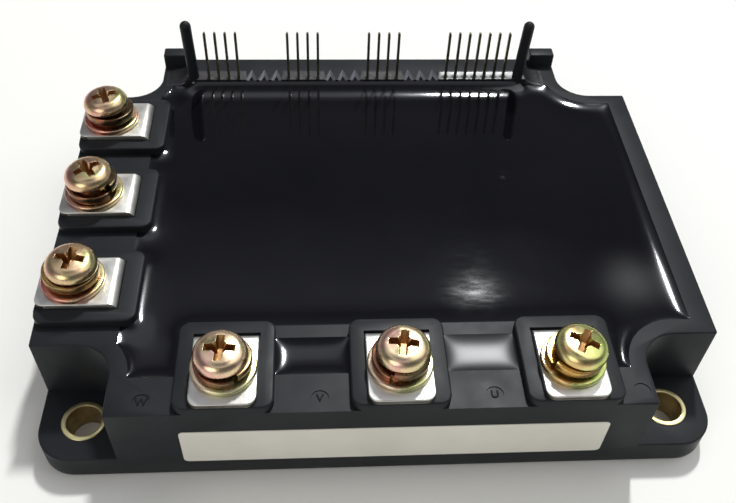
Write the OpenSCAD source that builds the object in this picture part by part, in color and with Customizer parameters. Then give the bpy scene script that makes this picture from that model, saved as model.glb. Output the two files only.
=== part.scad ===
// Three-phase intelligent power module with a brake leg.
// The base rests on Z = 0, the signal pins are at +Y and the phase terminals at -Y.

/* [Case] */
// Length of the case along X
case_x = 109; // [98:0.5:125]
// Depth of the case along Y
case_y = 88; // [79:0.5:105]
// Gap between the underside of the case and the floor
case_lift = 0.3; // [0.1:0.1:0.6]
// Thickness of the corner flanges above the base plate
flange_t = 2; // [1.5:0.1:4]
// Height of the rim
rim_top = 17.4; // [16.8:0.1:22]
// Plan radius of the flange corners
flange_r = 6; // [3:0.5:7]
// Plan radius of the hollow corner beside each mounting hole
notch_r = 6; // [4:0.5:7]
// Thickness of the outer wall below the ledge
outer_wall = 3; // [2:0.1:4]
// Thickness of the wall around each corner notch
notch_wall = 2.8; // [2:0.1:3.5]
// Width of the rim on the right side
right_rim = 3.8; // [3.2:0.1:6]
// Width of the lands between the terminals on the left side
left_land = 13.5; // [11:0.1:15]
// Depth of the lands between the terminals on the front
front_land = 6.7; // [5:0.1:9]
// Thickness of the back wall that holds the pins
back_wall = 9.5; // [9.3:0.1:11]
// Height of the well between the base plate and the ledge
well_h = 7; // [6.6:0.1:8]
// Thickness of the ribs between the front terminals
rib_t = 2.4; // [1.5:0.1:4]
// Height of the ribs
rib_h = 4.6; // [2.5:0.1:5.5]

/* [Ears] */
// Width of the two ears on the back wall
ear_w = 5.2; // [3:0.1:8]
// Depth of the ears
ear_d = 2.8; // [2:0.1:4]
// Height of the ears above the rim
ear_h = 2.8; // [1:0.1:5]

/* [Mounting] */
// Distance of the mounting holes from the outer faces of the case
hole_in = 7; // [6.5:0.1:8]
// Diameter of the mounting holes
hole_d = 5.5; // [4.3:0.1:6.5]
// Wall of the collars in the mounting holes
collar_wall = 0.85; // [0.5:0.05:1.5]
// Height of the collars above the flange
collar_proud = 0.2; // [0:0.05:0.5]
// Room along X from a hole's axis to the case wall
screw_room_x = 6.1; // [5.5:0.1:8]
// Room along Y from a hole's axis to the case wall
screw_room_y = 6; // [5.5:0.1:8]

/* [Base plate] */
// Distance of the base plate's edges from the outer faces of the case
base_in = 2.5; // [1.5:0.1:3.2]
// Thickness of the base plate
base_t = 3; // [2:0.1:3.5]
// Corner radius of the base plate
base_r = 4; // [2:0.5:5]
// Clearance between the base plate and the case
base_clear = 0.1; // [0.05:0.05:0.3]

/* [Terminals] */
// Distance from the left end of the front face to the first front terminal
front_in_left = 17.5; // [14:0.1:20]
// Distance from the right end of the front face to the last front terminal
front_in_right = 12.7; // [11:0.1:16]
// Distance from the front end of the left face to the first side terminal
side_in_front = 10.9; // [9:0.1:12]
// Distance from the rear end of the left face to the last side terminal
side_in_rear = 10.3; // [9:0.1:12]
// Width of the raised block under a terminal
block_w = 14.9; // [13:0.1:17]
// Depth of the raised block
block_d = 16; // [15.4:0.1:18]
// Height of the raised block above the rim
block_h = 1.5; // [0.5:0.1:3]
// Corner radius of the raised block
block_r = 1.8; // [0.5:0.1:3]
// Width of a terminal plate
plate_w = 10; // [9:0.1:11]
// Length of a terminal plate from the outer face to its bend
plate_l = 13; // [12.4:0.1:14]
// Thickness of a terminal plate
plate_t = 1; // [0.6:0.1:1.4]
// Radius of the outer corners of a terminal plate
plate_r = 1.6; // [0.5:0.1:2.5]
// Inner radius of the bends in a terminal
bend_r = 0.5; // [0.2:0.1:0.8]
// Length of the foot that stands on the substrate
foot_l = 6; // [4:0.1:7]
// Distance from the front face to the axes of the front screws
front_screw_in = 6.3; // [5:0.1:6.6]
// Distance from the left face to the axes of the side screws
side_screw_in = 5.6; // [5:0.1:6.6]
// Clearance around a terminal's leg
leg_clear = 0.1; // [0.05:0.05:0.3]

/* [Marks] */
// Diameter of the round marks sunk in the front lands
mark_d = 2.7; // [1.5:0.1:3.5]
// Depth of the marks
mark_h = 0.15; // [0.05:0.05:0.4]
// Distance of the marks from the front face
mark_in = 2.4; // [2:0.1:4]
// Distance from a front terminal to the mark on its left
mark_left = 12.1; // [10.5:0.1:13]
// Distance from the last front terminal to the mark on its right
mark_right = 10.5; // [9.5:0.1:10.8]

/* [Fasteners] */
// Thread diameter of the terminal screws
screw_d = 5; // [4:0.1:5.4]
// Length of the terminal screws below the head
screw_l = 10; // [8:0.1:10.5]
// Diameter of the screw heads
head_d = 8.2; // [7.5:0.1:9.5]
// Height of the screw heads
head_h = 2.4; // [2:0.1:4]
// Radius of the upper edge of the screw heads
head_r = 1.9; // [0.5:0.1:1.9]
// Length of the arms of the cross recess
recess_l = 5.2; // [4:0.1:5.5]
// Width of the arms of the cross recess
recess_w = 1.5; // [0.8:0.1:1.8]
// Depth of the cross recess
recess_h = 1.5; // [1:0.1:1.8]
// Clearance around the screw in the plates and washers
screw_clear = 0.5; // [0.3:0.1:0.8]
// Chamfer on the tip of the screws
screw_chamfer = 0.5; // [0.2:0.1:0.8]
// Room below the tip of a screw
tip_room = 0.5; // [0.3:0.1:0.8]
// Clearance around the screw in the nut
thread_clear = 0.1; // [0.05:0.05:0.2]
// Outer diameter of the flat washers
washer_d = 10; // [9:0.1:10.6]
// Thickness of the flat washers
washer_t = 1; // [0.6:0.1:1.4]
// Outer diameter of the spring washers
spring_d = 8.8; // [7.6:0.1:9.2]
// Free height of the spring washers
spring_t = 2.2; // [1:0.1:2.6]
// Angle of the split in the spring washers
spring_gap = 12; // [6:1:20]
// Width of the nuts across their flats
nut_af = 8; // [7.4:0.1:8.4]
// Height of the nuts
nut_h = 4; // [2.7:0.1:4.4]
// Clearance around the nuts in their pockets
nut_clear = 0.1; // [0.05:0.05:0.3]

/* [Signal pins] */
// Spacing of the pins within a group
pin_pitch = 2.02; // [1.8:0.01:2.3]
// Spacing of the groups of pins
group_pitch = 16.28; // [14:0.01:17]
// Shift of the row of pins from the middle of the case
row_shift = -1.07; // [-2:0.01:2]
// Distance of the row of pins from the back face
row_in = 8.95; // [8.5:0.05:9]
// Height of the comb, the land that holds the pins, above the rim
comb_h = 1.5; // [0.5:0.1:3]
// Distance of the rear edge of the comb from the back face
comb_in = 2.15; // [1.5:0.05:3]
// Distance from the guide pins to the ends of the comb
comb_end = 1.6; // [1.3:0.1:1.8]
// Width of a pin along the row
pin_w = 0.5; // [0.4:0.05:0.9]
// Thickness of a pin across the row
pin_t = 0.5; // [0.4:0.05:0.8]
// Height of the tips of the pins above the comb
pin_rise = 10.95; // [6:0.05:16]
// Length of the tapered tip of a pin
pin_tip = 0.3; // [0.2:0.1:2]
// Width of a pin at its tip
pin_tip_w = 0.3; // [0.2:0.05:0.4]
// Length of a pin below the control board
pin_tail = 0.6; // [0.3:0.1:1]
// Clearance around the pins
pin_clear = 0.1; // [0.05:0.05:0.2]
// Distance from the end pins to the guide pins
guide_out = 3.2; // [2.5:0.05:4]
// Diameter of the guide pins
guide_d = 2.2; // [1.5:0.1:2.5]
// Distance of the guide pins from the back face
guide_in = 8.35; // [7.5:0.05:8.4]
// Height of the tips of the guide pins above the comb
guide_rise = 13; // [8:0.1:18]
// Number of grooves between two groups of pins
groove_count = 3; // [1:1:4]
// Width of a groove at the inner face of the back wall
groove_w = 2.1; // [1.2:0.1:2.4]
// Depth of a groove into the back wall
groove_d = 3.5; // [2:0.1:4.5]

/* [Inside] */
// Depth of the surface of the potting resin below the rim
pool_drop = 0.6; // [0.4:0.1:2.5]
// Thickness of the control board
board_t = 1.6; // [1:0.1:2]
// Clearance around the control board
board_clear = 0.4; // [0.2:0.1:0.8]
// Thickness of the insulating substrates
substrate_t = 1.2; // [0.8:0.1:1.5]
// Distance of the substrates' ends from the front and back faces of the case
substrate_in = 17; // [15:0.1:18.5]
// Gap between the substrates
substrate_gap = 1; // [0.5:0.1:2]
// Width of the square transistor chips
igbt_w = 8.5; // [7:0.1:9]
// Width of the square diode chips
diode_w = 6; // [4:0.1:7]
// Thickness of the chips
chip_t = 0.3; // [0.2:0.05:0.5]
// Spacing of the two columns of chips on a substrate
chip_pitch_x = 11; // [10.2:0.1:12]
// Room from the chips to the terminals' feet and to the rear end of a substrate
chip_clear = 1; // [0.5:0.1:2]
// Diameter of the bond wires
wire_d = 0.4; // [0.2:0.05:0.5]
// Radius of the loops of the bond wires
wire_r = 1.6; // [1.2:0.05:1.7]
// Spacing of the bond wires on a chip
wire_pitch = 2.4; // [0.8:0.1:3.2]
// Gap between the bond wires and the silicone gel
gel_clear = 0.2; // [0.1:0.05:0.5]
// Length of a driver chip on the control board
driver_l = 10; // [6:0.1:13]
// Width of a driver chip
driver_w = 5; // [3:0.1:6]
// Height of a driver chip
driver_h = 2; // [1:0.1:3]
// Room from the driver chips to the ends of the pool
driver_side = 2; // [1:0.1:3]
// Distance from the row of pins to the driver chips
driver_in = 9; // [6:0.1:12]

/* [Label] */
// Length of the blank label
label_w = 66; // [40:0.5:74]
// Height of the blank label
label_h = 8.5; // [5:0.1:10]
// Thickness of the blank label
label_t = 0.12; // [0.05:0.01:0.3]
// Place of the middle of the label along X
label_x = 2; // [-2:0.5:3]
// Height of the lower edge of the label
label_z = 4.1; // [2:0.1:6]
// Corner radius of the label
label_r = 0.8; // [0.2:0.1:2]

/* [Hidden] */
$fn = 64;
// Overlap that keeps a cut clear of the face it starts from
spare = 1;
// Turn of the cross recess in each screw, front terminals first
recess_turns = [-3, -9, -27, -8, 35, 20];
group_pin_counts = [4, 4, 4, 7];
bond_wires_per_chip = 2;

phase_names = ["w", "v", "u"];
side_names = ["n", "p", "b"];
phase_count = len(phase_names);
terminal_count = phase_count + len(side_names);

hole_x = case_x / 2 - hole_in;
hole_y = case_y / 2 - hole_in;
notch_x = hole_x - screw_room_x;
notch_y = hole_y - screw_room_y;
collar_d = hole_d + 2 * collar_wall;
base_x = case_x - 2 * base_in;
base_y = case_y - 2 * base_in;

flange_top = base_t + flange_t;
ledge_z = base_t + well_h;
pool_z = rim_top - pool_drop;
block_top = rim_top + block_h;
comb_top = rim_top + comb_h;
plate_top = block_top + plate_t;
bend_out = bend_r + plate_t;
head_z = plate_top + washer_t + spring_t;
bore_d = screw_d + screw_clear;
// Start and end of a terminal's foot, from the outer face
foot_start = plate_l - plate_t + bend_out;
foot_end = foot_start + foot_l;
front_step = (2 * notch_x - front_in_left - front_in_right) / 2;
side_step = (2 * notch_y - side_in_front - side_in_rear) / 2;

row_y = case_y / 2 - row_in;
back_y = case_y / 2 - back_wall;
pin_steps = [
    for (g = [0 : len(group_pin_counts) - 1]) for (k = [0 : group_pin_counts[g] - 1])
        g * group_pitch + k * pin_pitch
];
pin_count = len(pin_steps);
row_l = pin_steps[pin_count - 1];
row_x = row_shift - row_l / 2;
group_gap = group_pitch - (group_pin_counts[0] - 1) * pin_pitch;
comb_l = row_l + 2 * (guide_out + comb_end);

board_z = ledge_z - board_t;
driver_count = len(group_pin_counts);
driver_left = -case_x / 2 + block_d + driver_side + driver_l / 2;
driver_right = notch_x - notch_wall - driver_side - driver_l / 2;
driver_step = (driver_right - driver_left) / (driver_count - 1);
rib_z = rim_top - rib_h;
substrate_z = base_t + substrate_t;
chip_z = substrate_z + chip_t;
gel_z = chip_z + wire_r + wire_d / 2 + gel_clear;
substrate_w = front_step - substrate_gap;
substrate_d = case_y - 2 * substrate_in;
chip_columns = [-chip_pitch_x / 2, chip_pitch_x / 2];
// Phase, column and row of each pair of chips, with the brake pair last
chip_places = [
    for (p = [0 : phase_count - 1]) for (c = [0, 1]) [p, c, 0],
    [0, 0, 1]
];
chip_count = len(chip_places);
// Rows of chips from the terminals' feet to the rear end of the substrates
chip_row_count = 4;
chip_front = -case_y / 2 + foot_end + chip_clear + igbt_w / 2;
chip_rear = substrate_d / 2 - chip_clear - wire_r - wire_d / 2 - diode_w / 2;
chip_pitch_y = (chip_rear - chip_front) / (chip_row_count - 1);

function front_x(i) = -notch_x + front_in_left + i * front_step;
function side_y(i) = -notch_y + side_in_front + i * side_step;
function screw_in(i) = i < phase_count ? front_screw_in : side_screw_in;
function pin_x(i) = row_x + pin_steps[i];
function two_digits(i) = i < 10 ? str("0", i) : str(i);
function terminal_name(i) =
    str("terminal_", i < phase_count ? phase_names[i] : side_names[i - phase_count]);
function pin_name(i) = str("signal_pin_", two_digits(i + 1));
function substrate_name(p) = str("substrate_", phase_names[p]);
function igbt_name(i) = str("igbt_chip_", i + 1);
function diode_name(i) = str("diode_chip_", i + 1);
function driver_name(g) = str("driver_chip_", g + 1);
// Middle of an IGBT, and of the diode one row behind it
function igbt_at(i) = [
    front_x(chip_places[i][0]) + chip_columns[chip_places[i][1]],
    chip_front + 2 * chip_places[i][2] * chip_pitch_y
];
function diode_at(i) = igbt_at(i) + [0, chip_pitch_y];

// Shared shapes

// Rectangle about the origin with round corners
module round_rect(w, d, r) {
    square([w - 2 * r, d], center = true);
    square([w, d - 2 * r], center = true);
    for (sx = [-1, 1]) {
        for (sy = [-1, 1]) {
            translate([sx * (w / 2 - r), sy * (d / 2 - r)]) circle(r);
        }
    }
}

// The four corner notches above the flanges, grown inwards by a wall
module corner_notches(grow = 0) {
    nx = notch_x - grow;
    ny = notch_y - grow;
    r = notch_r + grow;
    w = case_x / 2 - nx + spare;
    d = case_y / 2 - ny + spare;
    for (mx = [0, 1]) {
        for (my = [0, 1]) {
            mirror([mx, 0, 0]) mirror([0, my, 0]) translate([nx, ny, 0]) {
                translate([r, 0]) square([w - r, d]);
                translate([0, r]) square([w, d - r]);
                translate([r, r]) circle(r);
            }
        }
    }
}

// Children drawn at each mounting hole
module at_holes() {
    for (sx = [-1, 1]) {
        for (sy = [-1, 1]) {
            translate([sx * hole_x, sy * hole_y, 0]) children();
        }
    }
}

// Children drawn at a terminal, with Y pointing inwards from the outer face
module at_terminal(i) {
    if (i < phase_count) {
        translate([front_x(i), -case_y / 2, 0]) children();
    } else {
        translate([-case_x / 2, side_y(i - phase_count), 0]) rotate([0, 0, -90]) children();
    }
}

// Children drawn on the axis of each terminal screw
module at_screws() {
    for (i = [0 : terminal_count - 1]) {
        at_terminal(i) translate([0, screw_in(i), 0]) children();
    }
}

// Plan of the raised block under a terminal
module block_plan() {
    translate([0, block_d / 2]) round_rect(block_w, block_d, block_r);
}

// Plan of the well, below the ledge
module well_plan(inset = 0) {
    difference() {
        square([case_x - 2 * (outer_wall + inset), case_y - 2 * (outer_wall + inset)], center = true);
        corner_notches(notch_wall + inset);
    }
}

// Plan of the pool above the ledge, with or without the ribs between the front blocks
module pool_plan(ribs) {
    difference() {
        translate([-case_x / 2 + left_land, -case_y / 2 + front_land])
            square([case_x - left_land - right_rim, case_y - front_land - back_wall]);
        corner_notches(notch_wall);
        for (i = [0 : terminal_count - 1]) at_terminal(i) block_plan();
        if (ribs) {
            translate([front_x(0), -case_y / 2 + block_d - rib_t]) square([2 * front_step, rib_t]);
        }
    }
}

// Room around a terminal's leg
module leg_room(clear) {
    translate([-plate_w / 2 - clear, plate_l - plate_t - clear])
        square([plate_w + 2 * clear, plate_t + 2 * clear]);
}

// Hole that holds one pin by its broad faces
module pin_hole(i) {
    translate([pin_x(i), row_y]) square([pin_w + 2 * pin_clear, pin_t], center = true);
}

// Plan of the slots in the comb, one for each pin
module comb_slots() {
    for (i = [0 : pin_count - 1]) {
        translate([pin_x(i) - pin_w / 2 - pin_clear, back_y - spare])
            square([pin_w + 2 * pin_clear, row_y + pin_t / 2 + pin_clear - back_y + spare]);
    }
}

// Plan of the pointed grooves between the groups of pins
module comb_grooves() {
    slope = groove_w / 2 / groove_d;
    for (g = [0 : len(group_pin_counts) - 2]) {
        for (k = [1 : groove_count]) {
            x = row_x + g * group_pitch + group_pitch - group_gap + k * group_gap / (groove_count + 1);
            mouth = groove_w / 2 + slope * spare;
            polygon([[x - mouth, back_y - spare], [x + mouth, back_y - spare], [x, back_y + groove_d]]);
        }
    }
}

// Chip as a square tile standing on its substrate
module chip(at, w) {
    translate([at.x - w / 2, at.y - w / 2, substrate_z]) cube([w, w, chip_t]);
}

// Wire loop over the rear edge of a chip, from its top to the substrate
module wire_loop(x, edge_y) {
    translate([x, edge_y, chip_z]) {
        rotate([90, 0, 90]) rotate_extrude(angle = 180) translate([wire_r, 0]) circle(d = wire_d);
        translate([0, wire_r, -chip_t]) cylinder(d = wire_d, h = chip_t);
    }
}

// Loops of one chip, side by side
module chip_loops(at, w) {
    for (k = [0 : bond_wires_per_chip - 1]) {
        wire_loop(at.x + (k - (bond_wires_per_chip - 1) / 2) * wire_pitch, at.y + w / 2);
    }
}

// Sub-parts

module base_plate() {
    color("#b9b4a8") difference() {
        linear_extrude(base_t) round_rect(base_x, base_y, base_r);
        translate([0, 0, -spare]) at_holes() cylinder(d = collar_d, h = base_t + 2 * spare);
    }
}

module case_frame() {
    color("#2c2d30") difference() {
        case_outside();
        case_hollows();
        terminal_hollows();
        pin_hollows();
        mark_hollows();
    }
}

// Guide pin moulded on the comb, with a round tip
module guide_pin() {
    shaft = guide_rise - guide_d / 2;
    translate([0, 0, comb_top - spare]) cylinder(d = guide_d, h = shaft + spare);
    translate([0, 0, comb_top + shaft]) sphere(d = guide_d);
}

// Flanges, walls, terminal blocks, comb, ears and guide pins
module case_outside() {
    translate([0, 0, case_lift]) {
        linear_extrude(flange_top - case_lift) round_rect(case_x, case_y, flange_r);
    }
    translate([0, 0, case_lift]) linear_extrude(rim_top - case_lift) difference() {
        round_rect(case_x, case_y, flange_r);
        corner_notches();
    }
    for (i = [0 : terminal_count - 1]) {
        at_terminal(i) translate([0, 0, ledge_z]) linear_extrude(block_top - ledge_z) block_plan();
    }
    translate([row_shift - comb_l / 2, back_y, ledge_z]) cube([comb_l, back_wall - comb_in, comb_top - ledge_z]);
    for (s = [-1, 1]) {
        translate([s * (notch_x - ear_w / 2), case_y / 2 - ear_d / 2, ledge_z])
            linear_extrude(rim_top + ear_h - ledge_z) square([ear_w, ear_d], center = true);
        translate([row_shift + s * (row_l / 2 + guide_out), case_y / 2 - guide_in, 0]) guide_pin();
    }
}

// Seat of the base plate, well, pool and the holes of the collars
module case_hollows() {
    linear_extrude(base_t) round_rect(base_x + 2 * base_clear, base_y + 2 * base_clear, base_r + base_clear);
    linear_extrude(ledge_z) well_plan();
    translate([0, 0, ledge_z - spare]) linear_extrude(rib_z - ledge_z + spare) pool_plan(false);
    translate([0, 0, ledge_z]) linear_extrude(rim_top - ledge_z + spare) pool_plan(true);
    at_holes() cylinder(d = collar_d, h = flange_top + spare);
}

// Nut pocket, screw hole and leg slot of each terminal
module terminal_hollows() {
    at_screws() {
        translate([0, 0, block_top - nut_h])
            cylinder(d = (nut_af + 2 * nut_clear) / cos(30), h = nut_h + spare, $fn = 6);
        translate([0, 0, head_z - screw_l - tip_room]) cylinder(d = bore_d, h = screw_l);
    }
    for (i = [0 : terminal_count - 1]) {
        at_terminal(i) translate([0, 0, ledge_z - spare]) linear_extrude(block_top - ledge_z + 2 * spare) {
            leg_room(leg_clear);
            translate([0, -bend_r]) leg_room(0);
        }
    }
}

// Slots and grooves of the comb
module pin_hollows() {
    translate([0, 0, ledge_z - spare]) linear_extrude(comb_top - ledge_z + 2 * spare) comb_slots();
    translate([0, 0, pool_z]) linear_extrude(comb_top - pool_z + spare) comb_grooves();
}

// Round marks in the lands beside the front terminals
module mark_hollows() {
    on_left = [for (i = [0 : phase_count - 1]) front_x(i) - mark_left];
    on_right = front_x(phase_count - 1) + mark_right;
    for (x = concat(on_left, [on_right])) {
        translate([x, -case_y / 2 + mark_in, rim_top - mark_h]) cylinder(d = mark_d, h = mark_h + spare);
    }
}

module mount_collars() {
    color("#c9ac5e") at_holes() difference() {
        cylinder(d = collar_d, h = flange_top + collar_proud);
        translate([0, 0, -spare]) cylinder(d = hole_d, h = flange_top + collar_proud + 2 * spare);
    }
}

// Side view of a terminal: plate, bend, leg, bend and foot
module terminal_profile() {
    bend_y = plate_l - bend_out;
    bend_z = plate_top - bend_out;
    foot_z = substrate_z + bend_out;
    translate([0, block_top]) square([bend_y, plate_t]);
    translate([bend_y, bend_z]) quarter_ring();
    translate([plate_l - plate_t, foot_z]) square([plate_t, bend_z - foot_z]);
    translate([foot_start, foot_z]) rotate(180) quarter_ring();
    translate([foot_start, substrate_z]) square([foot_l, plate_t]);
}

module quarter_ring() {
    intersection() {
        difference() {
            circle(bend_out);
            circle(bend_r);
        }
        square(bend_out + spare);
    }
}

module terminal(i) {
    color("#c8c8c6") at_terminal(i) difference() {
        rotate([90, 0, 90]) linear_extrude(plate_w, center = true) terminal_profile();
        translate([0, screw_in(i), block_top - spare]) cylinder(d = bore_d, h = plate_t + 2 * spare);
        translate([0, 0, block_top - spare]) linear_extrude(plate_t + 2 * spare) {
            for (m = [0, 1]) mirror([m, 0, 0]) plate_corner();
        }
    }
}

// What the round outer corner takes off a terminal plate
module plate_corner() {
    difference() {
        translate([plate_w / 2 - plate_r, -spare]) square(plate_r + spare);
        translate([plate_w / 2 - plate_r, plate_r]) circle(plate_r);
    }
}

module terminal_screws() {
    color("#cdb277") for (i = [0 : terminal_count - 1]) {
        at_terminal(i) translate([0, screw_in(i), head_z]) difference() {
            screw_blank();
            rotate(recess_turns[i]) cross_recess();
        }
    }
}

module screw_blank() {
    rotate_extrude() {
        square([head_d / 2 - head_r, head_h]);
        square([head_d / 2, head_h - head_r]);
        intersection() {
            translate([head_d / 2 - head_r, head_h - head_r]) circle(head_r);
            square([head_d, head_h]);
        }
    }
    translate([0, 0, screw_chamfer - screw_l]) cylinder(d = screw_d, h = screw_l - screw_chamfer);
    translate([0, 0, -screw_l])
        cylinder(d1 = screw_d - 2 * screw_chamfer, d2 = screw_d, h = screw_chamfer);
}

module cross_recess() {
    translate([0, 0, head_h - recess_h]) linear_extrude(recess_h + spare) {
        square([recess_l, recess_w], center = true);
        square([recess_w, recess_l], center = true);
    }
}

module spring_washers() {
    color("#b8975a") at_screws() translate([0, 0, plate_top + washer_t]) {
        rotate(spring_gap / 2 - 90) rotate_extrude(angle = 360 - spring_gap)
            translate([bore_d / 2, 0]) square([(spring_d - bore_d) / 2, spring_t]);
    }
}

module flat_washers() {
    color("#c7b184") at_screws() translate([0, 0, plate_top]) difference() {
        cylinder(d = washer_d, h = washer_t);
        translate([0, 0, -spare]) cylinder(d = bore_d, h = washer_t + 2 * spare);
    }
}

module terminal_nuts() {
    color("#b8b8b4") at_screws() translate([0, 0, block_top - nut_h]) difference() {
        cylinder(d = nut_af / cos(30), h = nut_h, $fn = 6);
        translate([0, 0, -spare]) cylinder(d = screw_d + thread_clear, h = nut_h + 2 * spare);
    }
}

module signal_pin(i) {
    foot = board_z - pin_tail;
    pin_top = comb_top + pin_rise;
    half = pin_w / 2;
    tip = pin_tip_w / 2;
    color("#a98f5f") translate([pin_x(i), row_y, 0]) rotate([90, 0, 0])
        linear_extrude(pin_t, center = true) polygon([
            [-half, foot], [half, foot], [half, pin_top - pin_tip],
            [tip, pin_top], [-tip, pin_top], [-half, pin_top - pin_tip]
        ]);
}

module control_board() {
    color("#2f5a3c") translate([0, 0, board_z]) linear_extrude(board_t) difference() {
        well_plan(board_clear);
        for (i = [0 : terminal_count - 1]) at_terminal(i) leg_room(leg_clear);
        for (i = [0 : pin_count - 1]) pin_hole(i);
    }
}

// Driver chip of one group of pins, on top of the control board
module driver_block(g) {
    translate([driver_left + g * driver_step - driver_l / 2, row_y - driver_in - driver_w / 2, ledge_z])
        cube([driver_l, driver_w, driver_h]);
}

module driver_chip(g) {
    color("#1c1c1e") driver_block(g);
}

module silicone_gel() {
    color("#d9e4e6") translate([0, 0, gel_z]) linear_extrude(board_z - gel_z) difference() {
        well_plan();
        for (i = [0 : terminal_count - 1]) at_terminal(i) leg_room(leg_clear);
        for (i = [0 : pin_count - 1]) pin_hole(i);
    }
}

module substrate(p) {
    color("#e4e0d4") translate([front_x(p), 0, base_t]) linear_extrude(substrate_t)
        square([substrate_w, substrate_d], center = true);
}

module igbt_chip(i) {
    color("#6d7178") chip(igbt_at(i), igbt_w);
}

module diode_chip(i) {
    color("#7f8288") chip(diode_at(i), diode_w);
}

module bond_wires() {
    color("#d5d6d8") for (i = [0 : chip_count - 1]) {
        chip_loops(igbt_at(i), igbt_w);
        chip_loops(diode_at(i), diode_w);
    }
}

module potting_resin() {
    color("#17181a") difference() {
        translate([0, 0, ledge_z]) linear_extrude(pool_z - ledge_z) pool_plan(false);
        translate([0, 0, rib_z]) linear_extrude(pool_z - rib_z + spare) difference() {
            pool_plan(false);
            pool_plan(true);
        }
        for (g = [0 : driver_count - 1]) driver_block(g);
    }
}

module blank_label() {
    color("#d4d5d6") translate([label_x, -case_y / 2, label_z + label_h / 2]) rotate([90, 0, 0])
        linear_extrude(label_t) round_rect(label_w, label_h, label_r);
}

base_plate();
case_frame();
mount_collars();
for (i = [0 : terminal_count - 1]) terminal(i);
terminal_screws();
spring_washers();
flat_washers();
terminal_nuts();
for (i = [0 : pin_count - 1]) signal_pin(i);
control_board();
for (g = [0 : driver_count - 1]) driver_chip(g);
silicone_gel();
for (p = [0 : phase_count - 1]) substrate(p);
for (i = [0 : chip_count - 1]) igbt_chip(i);
for (i = [0 : chip_count - 1]) diode_chip(i);
bond_wires();
potting_resin();
blank_label();
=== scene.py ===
"""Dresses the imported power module: moulded case, poured resin, terminals, fasteners, pins and label.

Sizes of pieces are in millimetres in the module's frame: X to the right along the front, Y to the back, Z up.
"""

from __future__ import annotations

import logging
import math
from collections.abc import Callable, Iterator
from contextlib import contextmanager
from dataclasses import dataclass
from enum import Enum

import bmesh
import bpy
import numpy as np
from mathutils import Matrix, Vector

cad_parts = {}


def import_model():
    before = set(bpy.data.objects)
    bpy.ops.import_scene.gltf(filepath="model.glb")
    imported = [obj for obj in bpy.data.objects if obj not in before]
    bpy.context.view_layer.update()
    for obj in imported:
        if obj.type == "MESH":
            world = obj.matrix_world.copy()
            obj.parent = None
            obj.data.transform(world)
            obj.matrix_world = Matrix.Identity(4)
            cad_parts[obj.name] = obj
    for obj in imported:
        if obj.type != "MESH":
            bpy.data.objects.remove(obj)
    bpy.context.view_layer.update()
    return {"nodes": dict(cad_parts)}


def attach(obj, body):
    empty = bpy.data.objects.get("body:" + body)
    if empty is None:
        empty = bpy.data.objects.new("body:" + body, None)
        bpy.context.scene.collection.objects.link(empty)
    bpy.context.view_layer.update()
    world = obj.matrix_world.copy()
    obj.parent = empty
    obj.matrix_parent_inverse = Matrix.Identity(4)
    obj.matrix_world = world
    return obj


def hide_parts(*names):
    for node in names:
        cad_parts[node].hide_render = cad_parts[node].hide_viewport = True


LOG = logging.getLogger("power_module")
MM = 0.001
ROOT = "root"
SOFT_DEG = 60.0
DRAPE_SUNK = 0.2
DRAPE_SLACK = 0.05
Pair = tuple[float, float]
Triple = tuple[float, float, float]
Colour = tuple[float, float, float]
Piece = bpy.types.Object
Nodes = dict[str, bpy.types.Object]
Material = bpy.types.Material
Socket = bpy.types.NodeSocket


# Working in Blender by hand


class Part(Enum):
    """Kinds of parts of a mesh, with the names of their lists."""

    VERT = "verts"
    EDGE = "edges"
    FACE = "faces"


def deselect() -> None:
    """Deselect every object, as before a primitive is added."""
    bpy.ops.object.select_all(action="DESELECT")


def pick(obj: Piece) -> None:
    """Select one object alone and make it active.

    Args:
        obj: the object to pick.
    """
    deselect()
    obj.select_set(True)
    bpy.context.view_layer.objects.active = obj


@contextmanager
def editing(obj: Piece, part: Part, test: Callable[..., bool] | None = None) -> Iterator[None]:
    """Hold an object in edit mode with some of its parts selected.

    Args:
        obj: the mesh object to edit.
        part: the kind of parts to select.
        test: says whether a part is wanted; without it, all are.

    Returns:
        A context in which operators act on the selected parts.
    """
    pick(obj)
    bpy.ops.object.mode_set(mode="EDIT")
    bpy.ops.mesh.select_mode(type=part.name)
    bpy.ops.mesh.select_all(action="DESELECT" if test else "SELECT")
    if test:
        mesh = bmesh.from_edit_mesh(obj.data)
        for wanted in [item for item in getattr(mesh, part.value) if test(item)]:
            wanted.select = True
        bmesh.update_edit_mesh(obj.data)
    yield
    bpy.ops.object.mode_set(mode="OBJECT")


def looks_up(face: bmesh.types.BMFace | bpy.types.MeshPolygon) -> bool:
    """True for a flat face on top."""
    return face.normal.z > 0.999


def looks_down(face: bmesh.types.BMFace) -> bool:
    """True for a flat face underneath."""
    return face.normal.z < -0.999


def is_convex(edge: bmesh.types.BMEdge, least_deg: float) -> bool:
    """True if an edge turns outwards by at least this angle."""
    return len(edge.link_faces) == 2 and edge.calc_face_angle_signed() > math.radians(least_deg)


def middle_mm(edge: bmesh.types.BMEdge) -> Vector:
    """Middle of an edge, in millimetres."""
    return (edge.verts[0].co + edge.verts[1].co) / (2 * MM)


def shift_mm(x: float, y: float, z: float) -> Matrix:
    """Matrix that moves by millimetres."""
    return Matrix.Translation(Vector((x, y, z)) * MM)


def turned(angle_deg: float, axis: str = "Z") -> Matrix:
    """Matrix that turns about an axis through the origin."""
    return Matrix.Rotation(math.radians(angle_deg), 4, axis)


def modify(obj: Piece, kind: str, **settings: object) -> None:
    """Add one modifier and apply it.

    Args:
        obj: the object to change.
        kind: Blender's name of the modifier.
        settings: its properties.
    """
    pick(obj)
    modifier = obj.modifiers.new("step", kind)
    for key, value in settings.items():
        setattr(modifier, key, value)
    bpy.ops.object.modifier_apply(modifier=modifier.name)


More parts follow.
